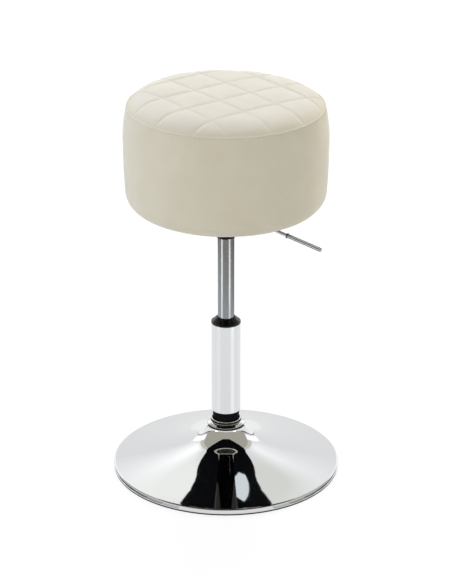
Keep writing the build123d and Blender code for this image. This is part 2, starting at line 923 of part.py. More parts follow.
with BuildPart() as plate_bolts:
    with BuildSketch(Plane.XY.offset(bolt_washer_low)):
        with GridLocations(bolt_spacing, bolt_spacing, 2, 2):
            RegularPolygon(bolt_head_across / 2, 6, major_radius=False)
    extrude(amount=-bolt_head_height)
    with BuildSketch(Plane.XY.offset(bolt_washer_low)):
        with GridLocations(bolt_spacing, bolt_spacing, 2, 2):
            Circle(bolt_radius)
    extrude(amount=bottom_board_high - bolt_washer_low)

with BuildPart() as t_nuts:
    with BuildSketch(Plane.XY.offset(bottom_board_high)):
        with GridLocations(bolt_spacing, bolt_spacing, 2, 2):
            Circle(tnut_flange_radius)
    extrude(amount=tnut_flange_thickness)
    with BuildSketch(Plane.XY.offset(bottom_board_high)):
        with GridLocations(bolt_spacing, bolt_spacing, 2, 2):
            Circle(tnut_barrel_radius)
    extrude(amount=-tnut_barrel_length)
    with BuildSketch(Plane.XY.offset(bottom_board_high + tnut_flange_thickness)):
        with GridLocations(bolt_spacing, bolt_spacing, 2, 2):
            Circle(bolt_radius + fixed_clearance)
    extrude(amount=-tnut_barrel_length - tnut_flange_thickness, mode=Mode.SUBTRACT)

pieces = {
    "rim_ring": rim_ring,
    "base_shell": base_shell,
    "hub_plate": hub_plate,
    "base_socket": base_socket,
    "base_collar": base_collar,
    "standpipe": standpipe,
    "standpipe_end_plate": standpipe_end_plate,
    "column_cover": column_cover,
    "guide_bushing": guide_bushing,
    "lower_bearing_washer": lower_bearing_washer,
    "ball_cage": ball_cage,
    "bearing_balls": bearing_balls,
    "upper_bearing_washer": upper_bearing_washer,
    "piston_rod": piston_rod,
    "end_washer": end_washer,
    "retaining_clip": retaining_clip,
    "rubber_bumper": rubber_bumper,
    "piston": piston,
    "piston_seal": piston_seal,
    "gas_cylinder": gas_cylinder,
    "rod_guide": rod_guide,
    "rod_seal": rod_seal,
    "valve_body": valve_body,
    "release_pin": release_pin,
    "seat_socket": seat_socket,
    "seat_plate": seat_plate,
    "lever_bracket": lever_bracket,
    "pivot_pin": pivot_pin,
    "pivot_clips": pivot_clips,
    "lever_rod": lever_rod,
    "lever_grip": lever_grip,
    "grip_ring": grip_ring,
    "side_cover": side_cover,
    "seam_piping": seam_piping,
    "quilted_cover": quilted_cover,
    "bottom_board": bottom_board,
    "drum_wall": drum_wall,
    "top_board": top_board,
    "top_foam": top_foam,
    "side_foam": side_foam,
    "dust_cover": dust_cover,
    "cover_staples": cover_staples,
    "bolt_washers": bolt_washers,
    "plate_bolts": plate_bolts,
    "t_nuts": t_nuts,
}
for piece_name, piece in pieces.items():
    piece.part.label = piece_name
    export_step(piece.part, f"parts/{piece_name}.step")
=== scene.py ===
"""A height-adjustable swivel stool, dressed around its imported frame.

Lengths are metres and angles radians. The stool stands on z = 0 with its axis on the z axis, the lift
lever points along +x, and the seat is at the top of its travel.
"""

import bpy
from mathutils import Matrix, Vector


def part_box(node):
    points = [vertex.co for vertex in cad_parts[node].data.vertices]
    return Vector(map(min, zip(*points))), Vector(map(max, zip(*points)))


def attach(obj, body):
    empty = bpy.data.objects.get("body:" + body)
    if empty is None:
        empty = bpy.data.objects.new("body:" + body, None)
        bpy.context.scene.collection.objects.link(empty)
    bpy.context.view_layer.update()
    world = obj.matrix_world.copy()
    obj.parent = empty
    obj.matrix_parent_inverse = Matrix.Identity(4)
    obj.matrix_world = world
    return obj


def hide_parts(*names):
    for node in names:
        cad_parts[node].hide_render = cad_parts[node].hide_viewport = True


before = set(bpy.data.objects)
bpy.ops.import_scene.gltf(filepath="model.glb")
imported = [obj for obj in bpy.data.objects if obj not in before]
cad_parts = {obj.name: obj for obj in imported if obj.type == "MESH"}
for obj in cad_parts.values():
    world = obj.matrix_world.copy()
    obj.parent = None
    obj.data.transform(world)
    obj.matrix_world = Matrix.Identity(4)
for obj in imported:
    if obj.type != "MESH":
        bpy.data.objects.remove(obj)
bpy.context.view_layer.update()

import logging
import math
from dataclasses import dataclass, field
from enum import Enum
from functools import lru_cache
from typing import Mapping, Optional, Sequence, Union

import bpy
import numpy as np
from mathutils import Vector

LOG = logging.getLogger("stool")
FULL_TURN = 2.0 * math.pi
QUARTER = math.pi / 2
MM = 0.001
SHARP_ANGLE = math.radians(50.0)

Array = np.ndarray
Point = tuple[float, float]
Triple = tuple[float, float, float]
Colour = Triple
Corner = Triple
SocketKey = Union[int, str]

WHITE: Colour = (1.0, 1.0, 1.0)


def srgb(*levels: int) -> Colour:
    """A linear colour from red, green and blue screen levels of 0 to 255."""
    shares = [level / 255.0 for level in levels]
    return tuple(s / 12.92 if s <= 0.04045 else ((s + 0.055) / 1.055) ** 2.4 for s in shares)


def scaled(colour: Colour, share: float) -> Colour:
    """A colour made darker or lighter by a share."""
    return tuple(c * share for c in colour)


class Body(str, Enum):
    """The moving bodies that the new pieces ride on."""

    BASE = "base"
    SEAT = "seat"
    LEVER = "lever"


class Value:
    """A socket of a shader, with arithmetic that adds Math nodes."""

    def __init__(self, shader: "Shader", socket: Optional[bpy.types.NodeSocket]) -> None:
        """Keeps the socket and the shader that it belongs to."""
        self.shader = shader
        self.socket = socket

    def math(self, operation: str, left: "Input", right: "Input" = 0.0) -> "Value":
        """One Math node on two values."""
        return self.shader.node("ShaderNodeMath", {"operation": operation}, {0: left, 1: right})

    def __add__(self, other: "Input") -> "Value":
        """This value plus another."""
        return self.math("ADD", self, other)

    def __sub__(self, other: "Input") -> "Value":
        """This value less another."""
        return self.math("SUBTRACT", self, other)

    def __rsub__(self, other: "Input") -> "Value":
        """Another value less this one."""
        return self.math("SUBTRACT", other, self)

    def __mul__(self, other: "Input") -> "Value":
        """This value times another."""
        return self.math("MULTIPLY", self, other)

    __radd__ = __add__
    __rmul__ = __mul__

    def cosine(self) -> "Value":
        """The cosine of this angle."""
        return self.math("COSINE", self)

    def angle_from(self, other: "Value") -> "Value":
        """The angle whose sine and cosine are in the ratio of this value to another."""
        return self.math("ARCTAN2", self, other)

    def clamp(self, low: float = 0.0, high: float = 1.0) -> "Value":
        """This value, kept between two limits."""
        return self.math("MINIMUM", self.math("MAXIMUM", self, low), high)


Input = Union[Value, float, Sequence[float]]


class Shader:
    """The node tree of a material or of the world, filled by one method."""

    def __init__(self, owner: Union[bpy.types.Material, bpy.types.World]) -> None:
        """Empties the owner's node tree.

        Args:
            owner: The material or world.
        """
        owner.use_nodes = True
        self.owner = owner
        self.tree = owner.node_tree
        self.tree.nodes.clear()

    def node(
        self,
        kind: str,
        settings: Optional[Mapping[str, str]] = None,
        sockets: Optional[Mapping[SocketKey, Input]] = None,
        output: SocketKey = 0,
    ) -> Value:
        """Adds one node.

        Args:
            kind: The node's type.
            settings: Its settings, which are set first.
            sockets: Values or links for its inputs, by name or number.
            output: The output to hand on.

        Returns:
            The chosen output, empty for a node that ends the tree.
        """
        made = self.tree.nodes.new(kind)
        for key, value in (settings or {}).items():
            setattr(made, key, value)
        for key, value in (sockets or {}).items():
            if isinstance(value, Value):
                self.tree.links.new(value.socket, made.inputs[key])
            else:
                made.inputs[key].default_value = value
        return Value(self, made.outputs[output] if len(made.outputs) else None)

    def place(self, stretch: Triple = WHITE, turn: float = 0.0) -> Value:
        """Object coordinates, turned about the stool's axis and then stretched."""
        here = self.node("ShaderNodeTexCoord", output="Object")
        return self.node("ShaderNodeMapping", {}, {0: here, "Rotation": (0, 0, turn), "Scale": stretch})

    def noise(self, place: Value, size: float, detail: float = 2.0, rough: float = 0.5) -> Value:
        """Soft noise from 0 to 1, with lumps of about a size."""
        sockets = {"Vector": place, "Scale": 1.0 / size, "Detail": detail, "Roughness": rough}
        return self.node("ShaderNodeTexNoise", {}, sockets)

    def cells(self, size: float) -> Value:
        """The distance from the middle of small cells of about a size."""
        return self.node("ShaderNodeTexVoronoi", {}, {"Vector": self.place(), "Scale": 1.0 / size})

    def bands(self, place: Value, axis: str, width: float, waviness: float = 0.0) -> Value:
        """Bands of about a width across an axis, from 0 to 1 and back."""
        sockets = {"Vector": place, "Scale": 0.314 / width, "Distortion": waviness}
        return self.node("ShaderNodeTexWave", {"wave_type": "BANDS", "bands_direction": axis}, sockets)

    def mix(self, share: Input, first: Input, second: Input) -> Value:
        """A colour between two colours."""
        colours = [c if isinstance(c, Value) else (*c, 1.0) for c in (first, second)]
        return self.node("ShaderNodeMix", {"data_type": "RGBA"}, {0: share, 6: colours[0], 7: colours[1]}, 2)

    def bump(self, height: Value, depth: float) -> Value:
        """A normal from a height of 0 to 1 and the depth that it stands for."""
        return self.node("ShaderNodeBump", {}, {"Height": height, "Distance": depth, "Strength": 1.0})

    def surface(self, sockets: Mapping[SocketKey, Input]) -> bpy.types.Material:
        """Ends the shader with one principled surface and hands on the material."""
        self.finish(self.node("ShaderNodeBsdfPrincipled", {}, sockets))
        return self.owner

    def finish(self, surface: Value, kind: str = "ShaderNodeOutputMaterial") -> None:
        """Links a surface to an output node."""
        self.node(kind, {}, {"Surface": surface})


@dataclass(frozen=True)
class Finish:
    """How a surface looks. Each kind of finish says how its shader is made."""

    name: str

    def shader(self) -> Shader:
        """A new material of this finish's name."""
        return Shader(bpy.data.materials.new(self.name))

    def make(self) -> bpy.types.Material:
        """The finish as a material."""
        raise NotImplementedError


@lru_cache(maxsize=None)
def material_of(finish: Finish) -> bpy.types.Material:
    """The one material that stands for a finish."""
    return finish.make()


@dataclass(frozen=True)
class NappedFabric(Finish):
    """Short-napped upholstery cloth: fine grain, faint brushed patches and a soft sheen."""

    light: Colour
    shade: Colour
    grain: float = 0.0006
    patch: float = 0.045
    sheen: float = 0.22
    # Painted shade: the edge tone is a darker, warmer tint that the cloth turns to below a height. It stands
    # in for how light falls on the top's shoulder near the seam.
    edge: Optional[Colour] = None
    shoulder_shade_low: float = 0.0
    shoulder_shade_high: float = 1.0
    contrast: float = 1.6
    rough: float = 0.78
    depth: float = 0.00025

    def make(self) -> bpy.types.Material:
        """Mixes two tones by broad patches and grain, and turns to an edge tone of painted shade below a
        height.

        Returns:
            The finished material.
        """
        shader = self.shader()
        place = shader.place()
        grain = shader.noise(place, self.grain, 3.0, 0.65)
        patches = shader.noise(place, self.patch, 3.0)
        weave = shader.noise(shader.place((1.0, 1.0, 0.35)), self.grain * 4.0)
        tone = (patches * 0.7 + grain * 0.3 - 0.5) * self.contrast + 0.5
        colour = shader.mix(tone, self.shade, self.light)
        # Painted shade: below the given heights the colour turns to the darker edge tone.
        if self.edge is not None:
            height = shader.node("ShaderNodeSeparateXYZ", {}, {"Vector": place}, "Z")
            rise = (height - self.shoulder_shade_low) * (1.0 / (self.shoulder_shade_high - self.shoulder_shade_low))
            colour = shader.mix(rise.clamp(), self.edge, colour)
        return shader.surface(
            {
                "Base Color": colour,
                "Roughness": self.rough + grain * 0.18,
                "Normal": shader.bump(grain * 0.6 + weave * 0.4, self.depth),
                "Sheen Weight": self.sheen,
                "Sheen Roughness": 0.3,
                "Sheen Tint": (1.0, 0.995, 0.98, 1.0),
                "IOR": 1.4,
            }
        )


@dataclass(frozen=True)
class MirrorChrome(Finish):
    """Bright chrome plate with faint polishing haze and a little wiping streak."""

    tint: Colour = (0.695, 0.705, 0.712)
    haze: float = 0.03
    polish: float = 0.015
    smear: float = 0.06
    streak: float = 0.0012
    depth: float = 0.0000015

    def make(self) -> bpy.types.Material:
        """Varies the haze by soft smears and hair-fine streaks.

        Returns:
            The finished material.
        """
        shader = self.shader()
        smear = shader.noise(shader.place(), self.smear, 4.0)
        streak = shader.noise(shader.place((1.0, 1.0, 0.08)), self.streak)
        wiped = smear * 0.7 + streak * 0.3
        return shader.surface(
            {
                "Base Color": shader.mix(wiped, scaled(self.tint, 0.96), self.tint),
                "Metallic": 1.0,
                "Roughness": self.polish + wiped * self.haze,
                "Normal": shader.bump(streak, self.depth),
            }
        )


@dataclass(frozen=True)
class FlutedChrome(Finish):
    """Satin chrome on a sleeve along a sloped line, darker and less metallic in its flutes."""

    slope: float
    level: float
    flutes: int
    first: float
    tint: Colour = (0.84, 0.87, 0.92)
    flute_dark: Colour = srgb(28, 29, 32)
    metal: float = 0.3
    rough: float = 0.36

    def make(self) -> bpy.types.Material:
        """The dark tone follows the cosine of the flutes' count times the angle round the sleeve.

        Returns:
            The finished material.
        """
        shader = self.shader()
        here = shader.place()
        x, y, z = (shader.node("ShaderNodeSeparateXYZ", {}, {"Vector": here}, axis) for axis in "XYZ")
        above = x * math.sin(self.slope) + z * math.cos(self.slope) - self.level
        wave = ((y.angle_from(above) - self.first) * float(self.flutes)).cosine()
        groove = ((wave + 0.05) * 4.0).clamp()
        lines = shader.noise(shader.place((0.03, 1.0, 1.0)), 0.0005)
        satin = shader.mix(lines, scaled(self.tint, 0.93), self.tint)
        return shader.surface(
            {
                # The colour is darker and less metallic in the flutes.
                "Base Color": shader.mix(groove, satin, self.flute_dark),
                "Metallic": (1.0 - groove) * self.metal,
                "Roughness": self.rough + lines * 0.1,
            }
        )


@dataclass(frozen=True)
class DrawnSteel(Finish):
    """Metal drawn or turned to a satin: fine lines along one direction."""

    tint: Colour
    rough: float
    stretch: Triple = (1.0, 1.0, 0.02)
    line: float = 0.0006
    stain: float = 0.12
    metal: float = 1.0
    depth: float = 0.000004

    def make(self) -> bpy.types.Material:
        """Lines are noise stretched along the drawing direction, over broad faint stains.

        Returns:
            The finished material.
        """
        shader = self.shader()
        lines = shader.noise(shader.place(self.stretch), self.line, 3.0, 0.6)
        stains = shader.noise(shader.place(), 0.02, 3.0)
        share = lines * 0.5 + stains * 0.5
        return shader.surface(
            {
                "Base Color": shader.mix(share, scaled(self.tint, 1.0 - self.stain), self.tint),
                "Metallic": self.metal,
                "Roughness": self.rough * 0.75 + lines * (self.rough * 0.5),
                "Normal": shader.bump(lines, self.depth),
            }
        )


@dataclass(frozen=True)
class ZincPlate(Finish):
    """Zinc plate: cool grey with a faint spangle and a hint of yellow passivation."""

    cool: Colour = (0.60, 0.62, 0.64)
    warm: Colour = (0.62, 0.59, 0.50)
    spangle: float = 0.0016
    depth: float = 0.000012

    def make(self) -> bpy.types.Material:
        """Mixes a cool and a warm grey by small cells and broad clouds.

        Returns:
            The finished material.
        """
        shader = self.shader()
        cells = shader.cells(self.spangle)
        return shader.surface(
            {
                "Base Color": shader.mix(shader.noise(shader.place(), 0.008, 3.0), self.cool, self.warm),
                "Metallic": 1.0,
                "Roughness": 0.26 + cells * 0.16,
                "Normal": shader.bump(cells, self.depth),
            }
        )


@dataclass(frozen=True)
class Coating(Finish):
    """Paint, plastic or rubber: one colour with a fine moulded or sprayed texture."""

    tint: Colour
    rough: float
    grain: float
    depth: float
    dust: float = 0.03
    index: float = 1.45

    def make(self) -> bpy.types.Material:
        """The grain lifts the surface, and a little dust greys it in soft clouds.

        Returns:
            The finished material.
        """
        shader = self.shader()
        clouds = shader.noise(shader.place(), 0.03, 4.0)
        dusty = tuple(c + (0.5 - c) * self.dust for c in self.tint)
        return shader.surface(
            {
                "Base Color": shader.mix(clouds, self.tint, dusty),
                "Roughness": self.rough * 0.85 + clouds * (self.rough * 0.3),
                "Normal": shader.bump(shader.noise(shader.place(), self.grain), self.depth),
                "IOR": self.index,
            }
        )


@dataclass(frozen=True)
class Plywood(Finish):
    """Birch plywood: long grain on the faces and thin glue lines across the edge."""

    early: Colour = srgb(222, 192, 148)
    late: Colour = srgb(180, 140, 92)
    ply: float = 0.0015

    def make(self) -> bpy.types.Material:
        """Grain is noise stretched along x, and the plies are bands in height.

        Returns:
            The finished material.
        """
        shader = self.shader()
        grain = shader.noise(shader.place((0.06, 1.0, 1.0)), 0.004, 5.0, 0.6)
        plies = shader.bands(shader.place(), "Z", self.ply, 0.4)
        return shader.surface(
            {
                "Base Color": shader.mix(grain * 0.65 + plies * 0.35, self.late, self.early),
                "Roughness": 0.62 + grain * 0.2,
                "Normal": shader.bump(grain, 0.0001),
            }
        )


@dataclass(frozen=True)
class FoamCells(Finish):
    """Cut polyurethane foam: open cells about a millimetre across."""

    tint: Colour = srgb(238, 226, 186)
    cell: float = 0.0011

    def make(self) -> bpy.types.Material:
        """Cells sink the surface, and painted shade darkens their hollows, so their rims are a little
        lighter.

        Returns:
            The finished material.
        """
        shader = self.shader()
        cells = shader.cells(self.cell)
        # Painted shade: the cells' hollows are darker than their rims.
        colour = shader.mix(cells, scaled(self.tint, 0.72), self.tint)
        return shader.surface({"Base Color": colour, "Roughness": 0.95, "Normal": shader.bump(cells, 0.0005)})


@dataclass(frozen=True)
class SpunCloth(Finish):
    """Black spun-bonded lining cloth with its grid of tiny pressed dots."""

    tint: Colour = srgb(34, 34, 36)
    dot: float = 0.0016
    fibre: float = 0.0005

    def make(self) -> bpy.types.Material:
        """Dots are the product of two bands, over a felt of fine fibres.

        Returns:
            The finished material.
        """
        shader = self.shader()
        place = shader.place(WHITE, math.radians(45.0))
        dots = shader.bands(place, "X", self.dot) * shader.bands(place, "Y", self.dot)
        fibres = shader.noise(place, self.fibre, 4.0, 0.7)
        return shader.surface(
            {
                "Base Color": shader.mix(fibres * 0.7 + dots * 0.3, self.tint, scaled(self.tint, 2.2)),
                "Roughness": 0.7 + fibres * 0.25,
                "Normal": shader.bump(fibres * 0.4 - dots * 0.6, 0.00015),
                "Sheen Weight": 0.1,
            }
        )


# The top, side and welt are one cream cloth, tinted apart as painted light. The side's warmer tone stands in
# for warm light falling on it. The welt's darker tone matches the top's painted shoulder shade.
CREAM_WELT = NappedFabric("cream_welt_fabric", srgb(225, 219, 203), srgb(216, 209, 191), sheen=0.35)
CREAM_TOP = NappedFabric(
    "cream_top_fabric",
    srgb(230, 225, 213),
    srgb(220, 214, 200),
    # Painted shade: the shoulder near the seam turns to this darker, warmer edge tone.
    edge=srgb(221, 214, 193),
    shoulder_shade_low=0.6510,
    shoulder_shade_high=0.6650,
)
CREAM_SIDE = NappedFabric("cream_side_fabric", srgb(229, 222, 202), srgb(219, 211, 188), sheen=0.85)
THREAD = NappedFabric("cream_thread", srgb(236, 232, 220), srgb(222, 216, 200), 0.0003, 0.004, 0.1)
FOAM = FoamCells("upholstery_foam")
WOOD = Plywood("birch_plywood")
LINING = SpunCloth("black_lining_cloth")
CHROME = MirrorChrome("bright_chrome")
COLUMN_CHROME = MirrorChrome("column_chrome", (0.70, 0.715, 0.725), 0.11)
COLLAR_CHROME = MirrorChrome("collar_chrome", (0.74, 0.75, 0.76), 0.07)
LEVER_STEEL = DrawnSteel("lever_rod_steel", (0.72, 0.745, 0.79), 0.5, (0.02, 1.0, 1.0), metal=0.4)
SATIN_TUBE = DrawnSteel("satin_cylinder_tube", srgb(149, 152, 155), 0.25, (1.0, 1.0, 0.003), stain=0.05)
GROUND = DrawnSteel("ground_steel", (0.58, 0.58, 0.59), 0.14, (1.0, 1.0, 40.0), 0.02, 0.06)
ALLOY = DrawnSteel("turned_aluminium", (0.72, 0.73, 0.74), 0.3, (1.0, 1.0, 30.0), 0.02, 0.08)
ZINC = ZincPlate("zinc_plate")
BLACK_PAINT = Coating("black_powder_paint", srgb(20, 20, 21), 0.38, 0.0011, 0.00006)
BLACK_GLOSS = Coating("gloss_black_enamel", srgb(25, 27, 28), 0.12, 0.002, 0.00001, 0.002, 1.22)
BLACK_PLASTIC = Coating("gloss_black_plastic", srgb(8, 8, 9), 0.16, 0.0006, 0.000015, 0.004, 1.35)
WHITE_PLASTIC = Coating("white_nylon", srgb(226, 225, 216), 0.4, 0.0005, 0.00003, 0.02)
RUBBER = Coating("black_rubber", srgb(30, 30, 31), 0.62, 0.0004, 0.00005, 0.06)


@dataclass(frozen=True)
class Span:
    """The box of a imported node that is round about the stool's axis."""

    radius: float
    low: float
    high: float

    @classmethod
    def of(cls, node: str) -> "Span":
        """Reads a node's radius and heights from the frame."""
        low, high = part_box(node)
        return cls((high.y - low.y) / 2, low.z, high.z)


@dataclass
class Surface:
    """A mesh as arrays: points, and faces of one size in each block."""

    points: Array
    faces: list[Array]

    def volume(self) -> float:
        """The signed volume: a sixth of the sum of each triangle's triple product.

        Returns:
            The volume, negative where the faces look inwards.
        """
        total = 0.0
        for block in self.faces:
            first = self.points[block[:, 0]]
            for k in range(1, block.shape[1] - 1):
                cross = np.cross(self.points[block[:, k]], self.points[block[:, k + 1]])
                total += float(np.einsum("ij,ij->", first, cross)) / 6.0
        return total

    def outward(self) -> "Surface":
        """This closed surface with its faces turned outwards."""
        turned_in = self.volume() < 0
        return Surface(self.points, [block[:, ::-1] for block in self.faces]) if turned_in else self

    def mesh(self, name: str) -> bpy.types.Mesh:
        """The surface as a smooth mesh with sharp edges kept sharp.

        Args:
            name: The mesh's name.

        Returns:
            The mesh.
        """
        made = bpy.data.meshes.new(name)
        made.vertices.add(len(self.points))
        made.vertices.foreach_set("co", np.ascontiguousarray(self.points, np.float32).ravel())
        corners = np.concatenate([block.ravel() for block in self.faces]).astype(np.int32)
        sizes = np.concatenate([np.full(len(block), block.shape[1]) for block in self.faces])
        starts = np.concatenate([[0], np.cumsum(sizes)[:-1]]).astype(np.int32)
        made.loops.add(len(corners))
        made.loops.foreach_set("vertex_index", corners)
        made.polygons.add(len(sizes))
        made.polygons.foreach_set("loop_start", starts)
        made.update(calc_edges=True)
        made.validate()
        made.shade_smooth()
        made.set_sharp_from_angle(angle=SHARP_ANGLE)
        return made


def points_of(mesh: bpy.types.Mesh) -> Array:
    """A mesh's points, one a row.

    Args:
        mesh: The mesh.

    Returns:
        Its points' x, y and z.
    """
    flat = np.empty(len(mesh.vertices) * 3)
    mesh.vertices.foreach_get("co", flat)
    return flat.reshape(-1, 3)


def even_angles(count: int) -> Array:
    """Angles that split a full turn evenly, from 0."""
    return np.arange(count) * (FULL_TURN / count)


def arc(center: Point, radius: float, start: float, end: float, steps: int) -> Array:
    """Points on an arc: its centre, plus its radius times the cosine and sine of an even run of angles."""
    angle = np.linspace(start, end, steps)
    return np.column_stack([center[0] + radius * np.cos(angle), center[1] + radius * np.sin(angle)])


def rounded(corners: Sequence[Corner], steps: int = 7, margin: float = 0.2) -> Array:
    """A closed outline whose corners are arcs tangent to both of their sides.

    A corner's arc starts and ends at its radius times the tangent of half the turn from the corner, and
    is swept between the two side normals. A point close to each end keeps the flat side flat in shading.

    Args:
        corners: Radius, height and rounding radius of each corner, in order.
        steps: Points on each arc.
        margin: How far the points close to an arc lie from its ends, as a share of its radius.

    Returns:
        The outline's points, one a row.
    """
    points = np.array([corner[:2] for corner in corners])
    into = points - np.roll(points, 1, axis=0)
    into /= np.linalg.norm(into, axis=1, keepdims=True)
    runs = []
    for point, before, after, (_, _, radius) in zip(points, into, np.roll(into, -1, axis=0), corners):
        turn = math.atan2(before[0] * after[1] - before[1] * after[0], float(before @ after))
        if radius <= 0 or abs(turn) < 1e-6:
            runs.append(point[None, :])
            continue
        reach = radius * math.tan(abs(turn) / 2)
        normal = math.copysign(1.0, turn) * np.array([-before[1], before[0]])
        center = point - before * reach + normal * radius
        first = math.atan2(-normal[1], -normal[0])
        bend = arc(tuple(center), radius, first, first + turn, steps)
        keep = margin * radius
        runs.append(np.vstack([bend[0] - before * keep, bend, bend[-1] + after * keep]))
    return np.vstack(runs)


def grid_faces(rows: int, columns: int, close_rows: bool, close_columns: bool) -> Array:
    """The quads of a grid of points, row by row, with either way closed on itself.

    Args:
        rows: Number of rows.
        columns: Points in a row.
        close_rows: Whether the last row meets the first.
        close_columns: Whether a row's last point meets its first.

    Returns:
        Four point numbers a row.
    """
    row = np.arange(rows if close_rows else rows - 1)
    column = np.arange(columns if close_columns else columns - 1)
    i, j = (g.ravel() for g in np.meshgrid(row, column, indexing="ij"))
    this, below, beside = i * columns, (i + 1) % rows * columns, (j + 1) % columns
    return np.column_stack([this + j, this + beside, below + beside, below + j])


def round_axis(radius: Array, height: Array, angle: Array) -> Array:
    """Points round the axis: x is the radius times the cosine, y the radius times the sine, z the height."""
    rows = np.broadcast_arrays(radius * np.cos(angle), radius * np.sin(angle), height)
    return np.stack(rows, -1).reshape(-1, 3)


def ringed(radius: Array, height: Array, angle: Array) -> Surface:
    """A closed section carried round the axis, with a row of radii and heights for each of its points."""
    quads = grid_faces(len(radius), len(angle), True, True)
    return Surface(round_axis(radius, height, angle), [quads]).outward()


def capped(radius: Array, height: Array, poles: Point, angle: Array) -> Surface:
    """An open section carried round the axis, with a fan from a pole on the axis at each end.

    Args:
        radius: Radius of each point of the section.
        height: Height of each point, the same all round or different.
        poles: Heights of the first and the last pole.
        angle: Places round the axis.

    Returns:
        The closed solid's skin.
    """
    points = round_axis(radius, height, angle)
    ring = np.arange(len(angle))
    following = np.roll(ring, -1)
    pole = np.full(len(angle), len(points))
    last = (len(radius) - 1) * len(angle)
    first_fan = np.column_stack([pole, following, ring])
    last_fan = np.column_stack([pole + 1, last + ring, last + following])
    quads = grid_faces(len(radius), len(angle), False, True)
    ends = [[0.0, 0.0, pole_height] for pole_height in poles]
    return Surface(np.vstack([points, ends]), [quads, np.vstack([first_fan, last_fan])]).outward()


def turned(profile: Array, count: int) -> Surface:
    """A closed profile of radii and heights, carried round the axis in even steps."""
    return ringed(profile[:, :1], profile[:, 1:], even_angles(count))


def lathe(corners: Sequence[Corner], count: int) -> Surface:
    """A ring whose section has rounded corners, each given by radius, height and rounding radius."""
    return turned(rounded(corners), count)


def spun(profile: Array, count: int) -> Surface:
    """An open profile that starts and ends on the axis, carried round it in even steps."""
    radius, height = profile[1:-1, :1], profile[1:-1, 1:]
    return capped(radius, height, (profile[0, 1], profile[-1, 1]), even_angles(count))


def linked(name: str, data: Union[bpy.types.Mesh, bpy.types.Light, bpy.types.Camera]) -> bpy.types.Object:
    """A new object in the scene.

    Args:
        name: Its name.
        data: Its mesh, lamp or camera data.

    Returns:
        The object.
    """
    made = bpy.data.objects.new(name, data)
    bpy.context.scene.collection.objects.link(made)
    return made


def add_piece(
    name: str, surface: Surface, finish: Finish, body: Body, nodes: Sequence[str] = ()
) -> bpy.types.Object:
    """Makes a piece of the stool from a surface.

    Args:
        name: The piece's name.
        surface: Its shape, in place.
        finish: How it looks.
        body: The body that it moves with.
        nodes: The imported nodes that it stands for.

    Returns:
        The new object.
    """
    mesh = surface.mesh(name)
    mesh.materials.append(material_of(finish))
    piece = linked(name, mesh)
    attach(piece, body.value)
    if nodes:
        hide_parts(*nodes)
    LOG.info("%s: %d faces, rides on %s", name, len(mesh.polygons), body.value)
    return piece


def dress(finish: Finish, *nodes: str) -> None:
    """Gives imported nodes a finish.

    Args:
        finish: How they look.
        nodes: Their names.
    """
    for name in nodes:
        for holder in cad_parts[name].material_slots:
            holder.material = material_of(finish)
        LOG.info("%s: dressed in %s", name, finish.name)


